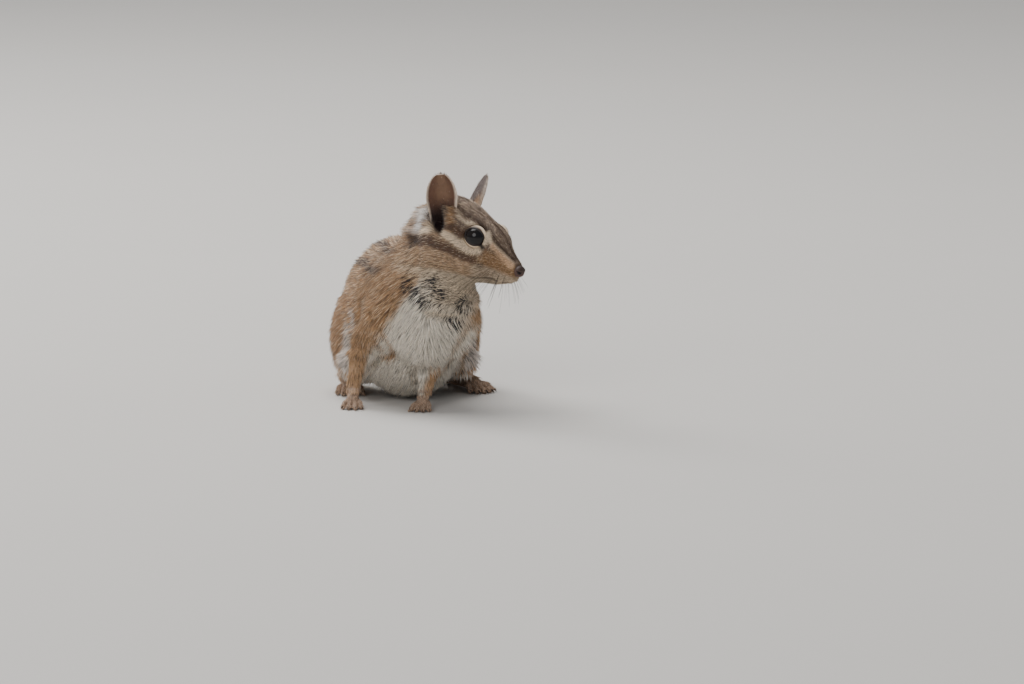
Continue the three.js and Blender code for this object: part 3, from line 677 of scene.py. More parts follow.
def head_colours(head):
    """The face's and crown's colours at places in the head's frame, and how ticked they are."""
    flat = folded(head)
    x, _, z = flat.T
    out = np.tile(CROWN, (len(head), 1))
    tick = np.full(len(head), 0.75)
    # the cheek, the muzzle's top and side, and the throat
    out = mixed(out, TAN, smooth(1.5, -2.5, z + 0.1 * x))
    out = mixed(out, OCHRE, smooth(8, 11.5, x) * smooth(3.2, 1.2, z + 0.3 * (x - 10)))
    out = mixed(out, MUZZLE, smooth(7, 10, x) * smooth(-3.6, -5.2, z))
    out = mixed(out, THROAT, smooth(-10.6, -12.6, z - 0.16 * x))
    for line, (first, last), tone in HEAD_LINES:
        gap, along = distance_to(flat, line)
        half = first + (last - first) * along
        share = smooth(half + 0.45, half - 0.45, gap)
        out = mixed(out, tone, share)
        tick = tick * (1 - share * 0.5)
    # a pale ring round the eye, but for its rear
    ring = smooth(5.9, 5.3, eye_gap(head)) * smooth(6.5, 5.5, off_centre(flat, (5.0, 9.6, 4.4), 1.0))
    out = mixed(out, CREAM, ring * smooth(-1.6, 0.6, -(z - 4.1) + 0.9 * (x - 4.3)))
    out = mixed(out, LID, smooth(1.2, 0.7, off_centre(flat, *TEAR_DUCT)))
    out = mixed(out, SOOT, smooth(1.3, 0.6, off_centre(flat, *CHEEK_SPOT)) * 0.7)
    # rows of whisker roots on the lip
    rows = 0.5 + 0.5 * np.cos((z + 0.35 * x) * 6.0)
    pad = smooth(10.5, 12, x) * smooth(19.5, 17, x) * smooth(-4.6, -5.4, z)
    out = mixed(out, UMBER, pad * rows**2 * 0.5)
    # the line of the mouth, the pale lips and the dark bridge of the nose
    gap, along = mouth_gap(head)
    out = mixed(out, LID, smooth(0.75, 0.3, gap) * smooth(0.05, 0.2, along))
    lips = smooth(1.6, 0.9, gap) * smooth(0.7, 0.9, gap) * smooth(0.3, 0.6, along)
    out = mixed(out, CREAM, lips * 0.7)
    out = mixed(out, CROWN_DARK, smooth(17.5, 20.5, x) * smooth(0.3, 1.6, z))
    ruff = white_ruff(head)
    out = mixed(out, WHITE, ruff)
    out = mixed(out, SOOT, smooth(1.2, 0.6, off_centre(flat, *BELOW_EAR)) * 0.8)
    # the hollow at the foot of each ear is darkened as painted shade
    return mixed(out, EAR_HOLLOW_SHADE, smooth(0.06, 0.3, concha_share(head))), tick * (1 - ruff)


# Lines on the body, each by where it is read and where it lies there: from the hips' front to back for
# the middle of the stripes, and by height for the white front's edges and the bones of the forelegs
STRIPE_MIDDLE = ((-40, -10, 10, 25), (42, 36, 32, 26))
WHITE_RIGHT = ((6, 20, 30, 39, 47, 51, 56), (-24, -21, -17, -10.5, -5.5, -1, 4))
WHITE_LEFT = ((6, 20, 30, 39, 47, 56), (19, 18.5, 18.5, 18, 17, 15))
RIGHT_BONE = ((8, 24), (-24.4, -20.0))
LEFT_BONE = ((7.6, 22.5), (1.2, 6.0))
# Back stripes: degrees down from the spine, half-width in degrees, colour
STRIPES = [(10, 3.6, BACK_PALE), (33, 4.2, BACK_PALE), (0, 3.6, BACK_DARK), (21, 4.4, BACK_DARK),
           (45, 4.6, BACK_DARK)]


def trunk_colours(hips, normals, on_arm):
    """Back, flanks, chest and belly, and how ticked they are."""
    x, y, z = hips.T
    out = np.tile(RUST, (len(hips), 1))
    out = mixed(out, HAUNCH, smooth(-14, -2, y) * smooth(48, 36, z))
    axis = np.interp(y, *STRIPE_MIDDLE)
    # past the loin the stripes bend down over the rump and keep their spacing
    reach = np.hypot(np.maximum(z - axis, 0), np.maximum(y - 8, 0))
    turn = np.degrees(np.arctan2(np.abs(x), reach))
    along = smooth(-44, -34, y) * smooth(16, 28, z)
    for at, half, tone in STRIPES:
        band = smooth(half + 2.5, half - 2.5, np.abs(turn - at))
        out = mixed(out, tone, band * along * 0.85)
    # the white of the chest and belly, with a ragged edge on each side
    right, left = np.interp(z, *WHITE_RIGHT), np.interp(z, *WHITE_LEFT)
    ragged = 1.2 * np.sin(z * 1.3) * np.sin(x * 0.9 + z * 0.4)
    front = smooth(right - 1.5, right + 2.5, x + ragged)
    front = front * smooth(left + 1.5, left - 2.5, x + ragged)
    front = front * smooth(-14, -24, y) * smooth(56, 49, z) * smooth(0.7, 0.2, normals[:, 1])
    leftward = smooth(-0.8, -0.2, -normals[:, 0])
    rightward = smooth(-0.6, -0.1, normals[:, 0])
    inner = np.where(x > -5, leftward, rightward)
    front = front * np.where(on_arm, inner, 1.0)
    under = smooth(25, 15, z + 0.35 * np.abs(x)) * smooth(0.4, -0.1, normals[:, 2])
    pale = np.maximum(front, under)
    return mixed(out, CHEST, pale), 0.6 - 0.5 * pale


def slate_share(hips):
    """Where the throat's dark underfur shows between the tufts."""
    share = np.zeros(len(hips))
    for place in THROAT_PATCHES:
        share = np.maximum(share, smooth(5.0, 1.2, np.linalg.norm(hips - np.array(place), axis=1)))
    return share


# the most of the tufts that are dark in a patch of underfur
MOST_SLATE = 0.72
# parts of one tone
PLAIN_PARTS = {"forearm": BUFF, "shank": BUFF, "hand": PAW, "foot": PAW, "tail": TAIL_ROOT_TONE}


def pelt_colours(places, normals, part):
    """For each place of the skin: the coat's colour, how ticked it is, and its share of dark tufts."""
    hips, head = in_hips(places), in_head(places)
    names = np.array([part_name(i) for i in part])
    out, tick = trunk_colours(hips, normals, np.isin(names, ("upper_arm", "forearm")))
    face, face_tick = head_colours(head)
    nape = smooth(-22, -14, head[:, 0]) * smooth(-19, -12, head[:, 2])
    nape = nape * np.isin(names, ("head", "neck"))
    nape = averaged(np.maximum(nape, names == "head")[:, None], EDGES, NAPE_ROUNDS)[:, 0]
    out = mixed(out, face, nape)
    tick = tick + (face_tick - tick) * nape
    x, _, z = hips.T
    # the forelegs' inner sides are white
    right_inner = smooth(1.2, 3.0, x - np.interp(z, *RIGHT_BONE))
    left_inner = smooth(0.3, 1.8, np.interp(z, *LEFT_BONE) - x)
    inner = np.where(x < -8, right_inner, left_inner)
    for name, tone in PLAIN_PARTS.items():
        out = np.where((names == name)[:, None], tone, out)
        tick = np.where(names == name, 0.35, tick)
    out = mixed(out, CHEST, inner * (names == "forearm") * 0.9)
    out = mixed(out, WHITE, smooth(-11.0, -14.0, hips[:, 1]) * (names == "thigh") * 0.7)
    slate = slate_share(hips) * ~np.isin(names, ("forearm", "hand"))
    return out, tick, slate * MOST_SLATE


# Materials
def new_material(name, roughness, specular=0.4, sheen=0.0):
    made = bpy.data.materials.new(name)
    made.use_nodes = True
    shader = made.node_tree.nodes["Principled BSDF"]
    shader.inputs["Roughness"].default_value = roughness
    shader.inputs["Specular IOR Level"].default_value = specular
    shader.inputs["Sheen Weight"].default_value = sheen
    shader.inputs["Sheen Roughness"].default_value = 0.4
    return made, made.node_tree, shader


def add_node(tree, kind, inputs=(), **values):
    """A new node with its settings, and its inputs set to values or linked to sockets."""
    made = tree.nodes.new(kind)
    for key, value in values.items():
        setattr(made, key, value)
    for key, value in dict(inputs).items():
        if isinstance(value, bpy.types.NodeSocket):
            tree.links.new(value, made.inputs[key])
        else:
            made.inputs[key].default_value = value
    return made


def noise(tree, scale):
    """A cloudy pattern that keeps its place on the object."""
    where = add_node(tree, "ShaderNodeTexCoord")
    inputs = {"Vector": where.outputs["Object"], "Scale": scale, "Detail": 3.0}
    return add_node(tree, "ShaderNodeTexNoise", inputs).outputs["Fac"]


def attribute(tree, name, output="Fac"):
    return add_node(tree, "ShaderNodeAttribute", attribute_name=name).outputs[output]


def mapped(tree, value, low, high, first=0.0, last=1.0):
    """A value brought from one range to another, held at both ends."""
    inputs = {"Value": value, "From Min": low, "From Max": high, "To Min": first, "To Max": last}
    return add_node(tree, "ShaderNodeMapRange", inputs).outputs["Result"]


def maths(tree, operation, first, second):
    return add_node(tree, "ShaderNodeMath", {0: first, 1: second}, operation=operation).outputs[0]


def blend(tree, share, first, second):
    """Two colours mixed by a share. Each may be a tone or a socket."""
    made = add_node(tree, "ShaderNodeMix", data_type="RGBA")
    tree.links.new(share, made.inputs["Factor"])
    for key, value in (("A", first), ("B", second)):
        slot = next(i for i in made.inputs if i.name == key and i.type == "RGBA")
        if isinstance(value, bpy.types.NodeSocket):
            tree.links.new(value, slot)
        else:
            slot.default_value = (*value, 1)
    return next(o for o in made.outputs if o.type == "RGBA")


def summed(tree, first, second):
    made = add_node(tree, "ShaderNodeVectorMath", {0: first, 1: second}, operation="ADD")
    return made.outputs["Vector"]


def scaled(tree, tone, by):
    made = add_node(tree, "ShaderNodeVectorMath", {0: tone, "Scale": by}, operation="SCALE")
    return made.outputs["Vector"]


def add_bump(tree, shader, scale, strength, depth):
    """A fine grain on the surface."""
    inputs = {"Height": noise(tree, scale), "Strength": strength, "Distance": depth}
    bump = add_node(tree, "ShaderNodeBump", inputs)
    tree.links.new(bump.outputs["Normal"], shader.inputs["Normal"])


def coat_material(name, banded):
    """Hair: darkened towards its root as painted shade between the tufts, the pelt's colour along it,
    and a little brighter at its tip as painted light. Ticked fur has dark tips and pale tips.
    """
    made, tree, shader = new_material(name, 0.6, specular=0.25, sheen=0.1)
    along = attribute(tree, "along")
    tint = attribute(tree, "tint")
    tone = attribute(tree, "pelt", "Color")
    if banded:
        own = maths(tree, "ADD", along, mapped(tree, tint, 0, 1, -0.1, 0.1))
        tone = blend(tree, mapped(tree, own, 0.38, 0.5), tone, TAIL_BAND)
        tone = blend(tree, mapped(tree, own, 0.78, 0.9), tone, TAIL_FROST)
    slate = maths(tree, "LESS_THAN", tint, attribute(tree, "slate"))
    slate = maths(tree, "MULTIPLY", slate, mapped(tree, along, 0.7, 1.0, 1.0, 0.25))
    tone = blend(tree, slate, tone, SLATE)
    share = maths(tree, "MULTIPLY", attribute(tree, "tick"), 0.5)
    dark = maths(tree, "LESS_THAN", tint, share)
    dark_tip = maths(tree, "MULTIPLY", dark, mapped(tree, along, 0.45, 0.7, 0.0, 0.68))
    pale = maths(tree, "ADD", tint, maths(tree, "MULTIPLY", share, 0.6))
    pale = maths(tree, "GREATER_THAN", pale, 1.0)
    pale_tip = maths(tree, "MULTIPLY", pale, mapped(tree, along, 0.5, 0.75, 0.0, 0.6))
    tone = blend(tree, pale_tip, tone, PALE_TIP)
    shade = maths(tree, "SUBTRACT", 1.0, dark_tip)
    # painted shade: each hair darkens towards its root, where the tufts shade each other; painted
    # light: it brightens a little towards its tip
    root = mapped(tree, along, 0.0, 0.45, 0.5, 1.0)
    tip = mapped(tree, along, 0.5, 1.0, 1.0, 1.18)
    own = mapped(tree, tint, 0.0, 1.0, 0.76, 1.2)
    for factor in (root, tip, own):
        shade = maths(tree, "MULTIPLY", shade, factor)
    tree.links.new(scaled(tree, tone, shade), shader.inputs["Base Color"])
    return made


def skin_material():
    """Skin and underfur: the pelt's colour, a little darker as painted shade under the tufts, with a
    fine nap.
    """
    made, tree, shader = new_material("Underfur", 0.8, specular=0.2)
    # painted shade: the skin between the tufts is darkened, in clouds, to 0.4 to 0.8 of the pelt's
    # colour
    patch = mapped(tree, noise(tree, 900.0), 0.0, 1.0, 0.4, 0.8)
    tree.links.new(scaled(tree, attribute(tree, "pelt", "Color"), patch), shader.inputs["Base Color"])
    add_bump(tree, shader, 2500.0, 0.5, 0.0002)
    return made


def eye_material():
    """A dark wet eye, black with a brown cast in clouds."""
    made, tree, shader = new_material("Wet eye", 0.04, specular=0.32)
    cloud = mapped(tree, noise(tree, 400.0), 0.35, 0.75)
    tree.links.new(blend(tree, cloud, EYE_BLACK, EYE_BROWN), shader.inputs["Base Color"])
    return made


def bare_material(name, roughness, depth, scale, tone=None, spread=0.35):
    """Bare skin or horn: one tone, or else the piece's own colours, mottled, with a fine grain."""
    made, tree, shader = new_material(name, roughness)
    mottle = mapped(tree, noise(tree, scale), 0.0, 1.0, 1 - spread, 1 + spread)
    source = attribute(tree, "pelt", "Color") if tone is None else tuple(tone)
    tree.links.new(scaled(tree, source, mottle), shader.inputs["Base Color"])
    add_bump(tree, shader, scale * 3, 0.6, depth)
    return made


COAT = coat_material("Coat hair", banded=False)
TAIL_COAT = coat_material("Tail hair", banded=True)
UNDERFUR = skin_material()
WET_EYE = eye_material()
NOSE_SKIN = bare_material("Nose skin", 0.4, 0.0001, 2500.0)
LID_SKIN = bare_material("Lid skin", 0.45, 0.00005, 2000.0)
EAR_SKIN = bare_material("Ear skin", 0.6, 0.0001, 900.0, spread=0.2)
HORN = bare_material("Claw horn", 0.35, 0.00003, 900.0, tone=CLAW_HORN)
WHISKER = bare_material("Whisker", 0.4, 0.00001, 500.0, tone=WHISKER_DARK)


# Coat
def tuft_mesh(name, spans, arch):
    """One hair lock along +X, flat below, its tip drawn down: with how far along each point is."""
    places, faces, along, across = [], [], [], []
    for i in range(spans):
        t = i / spans
        half = 0.5 * (0.75 + 0.5 * t if t < 0.5 else 1.0 - 0.55 * (t - 0.5) * 2)
        for k, (y, z) in enumerate(((-1, 0), (1, 0), (0, 0.45))):
            places.append((t, y * half, z * half - arch * t * t))
            along.append(t)
            across.append(k / 2)
    tip = len(places)
    places.append((1.0, 0.0, -arch))
    along.append(1.0)
    across.append(0.5)
    faces.append((0, 1, 2))
    for i in range(spans - 1):
        for k in range(3):
            a, b = i * 3 + k, i * 3 + (k + 1) % 3
            faces.append((a, a + 3, b + 3, b))
    last = (spans - 1) * 3
    for k in range(3):
        faces.append((last + k, tip, last + (k + 1) % 3))
    made = bpy.data.meshes.new(name)
    made.from_pydata(places, [], faces)
    flat = made.attributes.new("along", "FLOAT", "POINT")
    flat.data.foreach_set("value", along)
    blade = made.attributes.new("blade", "FLOAT_VECTOR", "POINT")
    blade.data.foreach_set("vector", np.array([(u, v, 0.0) for u, v in zip(across, along)]).ravel())
    made.update()
    return made


def named(tree, name, kind="FLOAT"):
    """A field that the mesh carries under this name."""
    made = add_node(tree, "GeometryNodeInputNamedAttribute", {"Name": name}, data_type=kind)
    return made.outputs["Attribute"]


def stored(tree, geometry, name, value, kind, domain):
    """The geometry with a value kept on it under a name."""
    inputs = {"Geometry": geometry, "Name": name, "Value": value}
    made = add_node(tree, "GeometryNodeStoreNamedAttribute", inputs, data_type=kind, domain=domain)
    return made.outputs["Geometry"]


FLOOR_CLEAR = 0.15 * MM
# How much the tufts' lengths vary, how far they stray from the lie, and a tuft's size on the unwrap
TUFT_SPREAD = {"Length spread": 0.25, "Stray": 0.12, "Patch": 0.003}


def coat_tree():
    """Tufts over a skin: spread by density, laid along it, sized by its own fields."""
    tree = bpy.data.node_groups.new("Coat tufts", "GeometryNodeTree")
    face = tree.interface
    face.new_socket("Geometry", in_out="INPUT", socket_type="NodeSocketGeometry")
    face.new_socket("Tuft", in_out="INPUT", socket_type="NodeSocketObject")
    for name, value in {"Density": 5e6, **TUFT_SPREAD}.items():
        face.new_socket(name, in_out="INPUT", socket_type="NodeSocketFloat").default_value = value
    face.new_socket("Seed", in_out="INPUT", socket_type="NodeSocketInt")
    face.new_socket("Material", in_out="INPUT", socket_type="NodeSocketMaterial")
    face.new_socket("Geometry", in_out="OUTPUT", socket_type="NodeSocketGeometry")
    given = tree.nodes.new("NodeGroupInput").outputs
    share = maths(tree, "MULTIPLY", named(tree, "density"), given["Density"])
    spread = add_node(tree, "GeometryNodeDistributePointsOnFaces",
                      {"Mesh": given["Geometry"], "Density": share, "Seed": given["Seed"]})
    points, normal = spread.outputs["Points"], spread.outputs["Normal"]

    def chance(step, low=0.0, high=1.0):
        """A number drawn for each tuft, or a vector where low and high are vectors."""
        seed = maths(tree, "ADD", given["Seed"], float(step))
        kind, slot, result = ("FLOAT", 2, 1) if isinstance(low, float) else ("FLOAT_VECTOR", 0, 0)
        made = add_node(tree, "FunctionNodeRandomValue", {"Seed": seed}, data_type=kind)
        made.inputs[slot].default_value = low
        made.inputs[slot + 1].default_value = high
        return made.outputs[result]

    stray = scaled(tree, chance(1, (-1, -1, -1), (1, 1, 1)), given["Stray"])
    way = summed(tree, named(tree, "lie", "FLOAT_VECTOR"), stray)
    way = summed(tree, way, scaled(tree, normal, named(tree, "rise")))
    turn = add_node(tree, "FunctionNodeAxesToRotation", {"Primary Axis": way, "Secondary Axis": normal},
                    primary_axis="X", secondary_axis="Z").outputs["Rotation"]
    least = maths(tree, "SUBTRACT", 1.0, given["Length spread"])
    most = maths(tree, "ADD", 1.0, given["Length spread"])
    own = mapped(tree, chance(2), 0.0, 1.0, least, most)
    long = maths(tree, "MULTIPLY", named(tree, "length"), own)
    wide = maths(tree, "MULTIPLY", named(tree, "width"), own)
    size = add_node(tree, "ShaderNodeCombineXYZ", {"X": long, "Y": wide, "Z": wide}).outputs[0]
    tinted = stored(tree, points, "tint", chance(3), "FLOAT", "POINT")
    tuft = add_node(tree, "GeometryNodeObjectInfo", {"Object": given["Tuft"]}).outputs["Geometry"]
    placed = add_node(tree, "GeometryNodeInstanceOnPoints",
                      {"Points": tinted, "Instance": tuft, "Rotation": turn, "Scale": size}).outputs[0]
    whole = add_node(tree, "GeometryNodeRealizeInstances", {"Geometry": placed}).outputs[0]
    # each tuft has a small patch of the unwrap of its own, round the place that it grows from
    patch = scaled(tree, named(tree, "blade", "FLOAT_VECTOR"), given["Patch"])
    spot = summed(tree, named(tree, "unwrap", "FLOAT_VECTOR"), patch)
    unwrapped = stored(tree, whole, "OFBake", spot, "FLOAT2", "CORNER")
    # no hair goes below the floor
    here = tree.nodes.new("GeometryNodeInputPosition").outputs[0]
    here = add_node(tree, "ShaderNodeSeparateXYZ", {0: here}).outputs
    above = maths(tree, "MAXIMUM", here["Z"], FLOOR_CLEAR)
    kept = add_node(tree, "ShaderNodeCombineXYZ", {"X": here["X"], "Y": here["Y"], "Z": above})
    resting = add_node(tree, "GeometryNodeSetPosition",
                       {"Geometry": unwrapped, "Position": kept.outputs[0]})
    dressed = add_node(tree, "GeometryNodeSetMaterial",
                       {"Geometry": resting.outputs[0], "Material": given["Material"]})
    smoothed = add_node(tree, "GeometryNodeSetShadeSmooth", {"Geometry": dressed.outputs[0]})
    out = tree.nodes.new("NodeGroupOutput")
    tree.links.new(smoothed.outputs[0], out.inputs["Geometry"])
    return tree


COAT_TREE = coat_tree()
SHORT_TUFT = bpy.data.objects.new("short_tuft", tuft_mesh("short_tuft", 2, 1.6))
LONG_TUFT = bpy.data.objects.new("long_tuft", tuft_mesh("long_tuft", 3, 3.0))


def set_input(change, name, value):
    """A modifier's input, set by its socket's identifier."""
    for item in COAT_TREE.interface.items_tree:
        if item.item_type == "SOCKET" and item.in_out == "INPUT" and item.name == name:
            change[item.identifier] = value


def unwrap(piece):
    """An unwrap of the piece's own shape, also kept as a point field named unwrap."""
    bpy.context.view_layer.objects.active = piece
    piece.select_set(True)
    bpy.ops.object.mode_set(mode="EDIT")
    bpy.ops.mesh.select_all(action="SELECT")
    bpy.ops.uv.smart_project(angle_limit=1.2, island_margin=0.002)
    bpy.ops.object.mode_set(mode="OBJECT")
    piece.select_set(False)
    mesh = piece.data
    corners = np.empty(len(mesh.loops) * 2)
    mesh.uv_layers.active.data.foreach_get("uv", corners)
    owner = np.empty(len(mesh.loops), dtype=np.int32)
    mesh.loops.foreach_get("vertex_index", owner)
    flat = np.zeros((len(mesh.vertices), 3))
    flat[owner, :2] = corners.reshape(-1, 2)
    store(mesh, "unwrap", flat)


def store(mesh, name, values):
    """One number, vector or colour for each vertex, kept on the mesh under a name."""
    width = 1 if values.ndim == 1 else values.shape[1]
    kinds = {1: ("FLOAT", "value"), 3: ("FLOAT_VECTOR", "vector"), 4: ("FLOAT_COLOR", "color")}
    kind, key = kinds[width]
    field = mesh.attributes.get(name) or mesh.attributes.new(name, kind, "POINT")
    field.data.foreach_set(key, values.astype(float).ravel())


def region_mesh(name, skin, chosen, fields):
    """The faces of the skin whose corners are all chosen, with its fields."""
    kept = [tuple(p.vertices) for p in skin.polygons if all(chosen[v] for v in p.vertices)]
    used = np.unique(np.array([v for f in kept for v in f]))
    number = np.zeros(len(chosen), dtype=np.int64)
    number[used] = np.arange(len(used))
    made = mesh_of(name, places_of(skin)[used], [tuple(number[v] for v in f) for f in kept])
    for key, values in fields.items():
        store(made, key, values[used])
    return made


def coat_piece(name, emitter, tuft, count, seed, material):
    """The tufts over one region, as one plain mesh."""
    source = piece_of(name + "_ground", emitter, shade=False)
    unwrap(source)
    area = sum(p.area for p in emitter.polygons)
    change = source.modifiers.new("coat", "NODES")
    change.node_group = COAT_TREE
    inputs = {"Tuft": tuft, "Density": count / area, "Seed": seed, "Material": material}
    for key, value in {**inputs, **TUFT_SPREAD}.items():
        set_input(change, key, value)
    bpy.context.view_layer.update()
    made = bpy.data.meshes.new_from_object(
        source.evaluated_get(bpy.context.evaluated_depsgraph_get())
    )
    bpy.data.objects.remove(source)
    return piece_of(name, made)


def flat_colour(tones):
    return np.column_stack([tones, np.ones(len(tones))])


skin_mesh, PART, SIZES, LIES = make_skin()
NORMALS = normals_of(skin_mesh)
PLACES = places_of(skin_mesh)
EDGES = edges_of(skin_mesh)
PELT, TICK, SLATE_SHARE = pelt_colours(PLACES, NORMALS, PART)
PELT = averaged(PELT, EDGES, 1)
HEAD_PLACES = in_head(PLACES)
NAMES = np.array([part_name(i) for i in PART])


def on(*parts):
    """Which vertices of the skin are on any of these parts."""
    return np.isin(NAMES, parts)


def coat_density():
    """Where tufts grow: not on the eyes, the lips' edge, the nose, the ears' hollows and the soles."""
    share = np.ones(len(PLACES))
    share *= smooth(4.5, 4.8, eye_gap(HEAD_PLACES))
    gap, along = mouth_gap(HEAD_PLACES)
    share *= 1 - smooth(0.7, 0.35, gap) * smooth(0.05, 0.2, along)
    share *= smooth(2.3, 2.8, np.linalg.norm(HEAD_PLACES - np.array(NOSE_IN_HEAD), axis=1))
    share *= 1 - smooth(0.1, 0.3, concha_share(HEAD_PLACES))
    share *= np.where(on("hand", "foot"), smooth(-0.35, 0.15, NORMALS[:, 2]), 1.0)
    return share


FIELDS = {
    "lie": LIES,
    "rise": np.tan(np.radians(SIZES[:, 2])),
    "length": SIZES[:, 0] * MM,
    "width": SIZES[:, 1] * MM,
    "density": coat_density(),
    "tick": TICK,
    "slate": SLATE_SHARE,
    "pelt": flat_colour(PELT),
}
store(skin_mesh, "pelt", FIELDS["pelt"])
skin = piece_of("skin", skin_mesh, UNDERFUR)
unwrap(skin)
skin.data.uv_layers.active.name = "OFBake"
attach(skin, "root")
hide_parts(*FLESH, "tail_base", "tail_middle", "tail_tip")

# The coat's pieces: where each grows, its tufts and how many, and its slot
HEAD_SPLIT = 1.0
AHEAD = HEAD_PLACES[:, 0] > HEAD_SPLIT
REGIONS = [
    ("coat_face", on("head") & AHEAD, SHORT_TUFT, 19000, "coat_fur"),
    ("coat_crown", on("head") & ~AHEAD, SHORT_TUFT, 19000, "coat_fur"),
    ("coat_neck", on("neck"), SHORT_TUFT, 12000, "coat_fur"),
    ("coat_chest", on("chest"), SHORT_TUFT, 18000, "pale_fur"),
    ("coat_belly", on("belly"), SHORT_TUFT, 15000, "pale_fur"),
    ("coat_rump", on("rump"), SHORT_TUFT, 13000, "coat_fur"),
    ("coat_arms", on("upper_arm", "forearm", "hand"), SHORT_TUFT, 16000, "coat_fur"),
    ("coat_legs", on("thigh", "shank", "foot"), SHORT_TUFT, 17000, "coat_fur"),
    ("coat_tail", on("tail"), LONG_TUFT, 10000, "tail_fur"),
]
for seed, (name, chosen, tuft, count, slot) in enumerate(REGIONS, start=1):
    # a ring wider than the region, so that no bald seam is left between two regions
    wide = averaged(chosen[:, None].astype(float), EDGES, 2)[:, 0] > 0.05
    ground = region_mesh(name, skin_mesh, wide, FIELDS)
    hair = TAIL_COAT if slot == "tail_fur" else COAT
    coat = coat_piece(name, ground, tuft, count, seed, hair)
    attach(coat, "root")


# Eyes and lids. In degrees from the way the eye looks: the opening's ends, its top, how much further
# its front corner reaches, and the outer edge of the ring
LID_LONG = 60.0
LID_TALL = 41.0
DUCT_REACH = 11.0
LID_OUTER = 84.0
# share of the way from the opening to the outer edge, and distance from the eyeball's middle
LID_SECTION = (
    (-0.05, 4.05), (0, 4.33), (0.08, 4.44), (0.17, 4.48), (0.3, 4.48),
    (0.6, 4.39), (0.85, 4.3), (1.0, 4.24), (1.06, 3.8), (0.5, 3.8),
)
LID_STEPS = 72
EYE_AROUND = 48
NOSE_AROUND = 56


def ball_mesh(name, centre, radius, around):
    """A round ball, in metres."""
    shape = bmesh.new()
    bmesh.ops.create_uvsphere(shape, u_segments=around, v_segments=around * 2 // 3, radius=radius)
    bmesh.ops.translate(shape, verts=shape.verts, vec=centre)
    made = bpy.data.meshes.new(name)
    shape.to_mesh(made)
    shape.free()
    return made


def lid_mesh(side):
    """The folded edge of the skin round an eyeball: an almond with a dark front corner."""
    way = unit(sided(EYE_WAY, side))
    forward = np.array([1.0, 0.0, -0.05])
    forward = unit(forward - way * forward.dot(way))
    up = np.cross(way, forward) * -side
    turns = np.arange(LID_STEPS) * 2 * math.pi / LID_STEPS
    lean = 1 / np.hypot(np.cos(turns) / LID_LONG, np.sin(turns) / LID_TALL)
    corner = (turns + 0.25 + math.pi) % (2 * math.pi) - math.pi
    lean = lean + DUCT_REACH * np.exp(-((corner / 0.26) ** 2))
    places, dark = [], []
    for turn, from_way in zip(turns, lean):
        outward = forward * math.cos(turn) + up * math.sin(turn)
        for offset, radius in LID_SECTION:
            angle = math.radians(from_way + (LID_OUTER - from_way) * offset)
            reach = way * math.cos(angle) + outward * math.sin(angle)
            places.append(eye_centre(side) + reach * radius)
            dark.append(1.0 if offset < 0.2 else 0.0)
    n = len(LID_SECTION)
    faces = []
    for i in range(LID_STEPS):
        for k in range(n):
            a, b = i * n + k, i * n + (k + 1) % n
            c, d = (i + 1) % LID_STEPS * n + (k + 1) % n, (i + 1) % LID_STEPS * n + k
            faces.append((a, b, c, d) if side < 0 else (d, c, b, a))
    places = np.array(places)
    tones, _ = head_colours(places)
    tones = mixed(tones, LID, np.array(dark))
    made = mesh_of("lid", head_places(places), faces)
    store(made, "pelt", flat_colour(tones))
    return made


for side_name, side in SIDES:
    ball = ball_mesh("eyeball", middle("eye_" + side_name), EYE_RADIUS * MM, EYE_AROUND)
    eye = piece_of("eyeball_" + side_name, ball, WET_EYE)
    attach(eye, "root")
    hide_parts("eye_" + side_name)
    lid = piece_of("lids_" + side_name, lid_mesh(side), LID_SKIN)
    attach(lid, "root")


# Ears
EAR_ROWS = 44
EAR_AROUND = 48
EAR_TUFTS = 3600
EAR_SEED = 20
# shares of the ear's height at which the leaf starts, inside the head, and ends
EAR_FOOT = -0.25
EAR_TOP = 1.0095


def ear_tone(t, s, facing, front, rim):
    """The ear's colour: dark inside, darkest deep in its hollow as painted shade, grizzled behind, and
    its rim pale, partly its own pale edge and partly painted rim light.

    t is the height, s runs across the leaf from -1 to 1, and front is s towards the nose.
    """
    if facing:
        # the lower inside of the cupped leaf is darkened as painted shade
        hollow_shade = float(smooth(0.55, 0.1, t))
        glow = float(smooth(1.0, 0.2, abs(s - 0.1) * 1.3) * smooth(0.3, 0.6, t))
        tone = EAR_INSIDE + (EAR_HOLLOW_SHADE - EAR_INSIDE) * hollow_shade + (TAN - EAR_INSIDE) * glow * 0.16
    else:
        ochre = float(smooth(0.3, 0.8, front) * smooth(0.6, 0.3, t))
        tone = EAR_BACK + (OCHRE - EAR_BACK) * ochre
        tone = tone + (WHITE - tone) * float(smooth(-0.1, -0.7, front)) * 0.7
    return tone + (EAR_EDGE_AND_RIM_LIGHT - tone) * rim


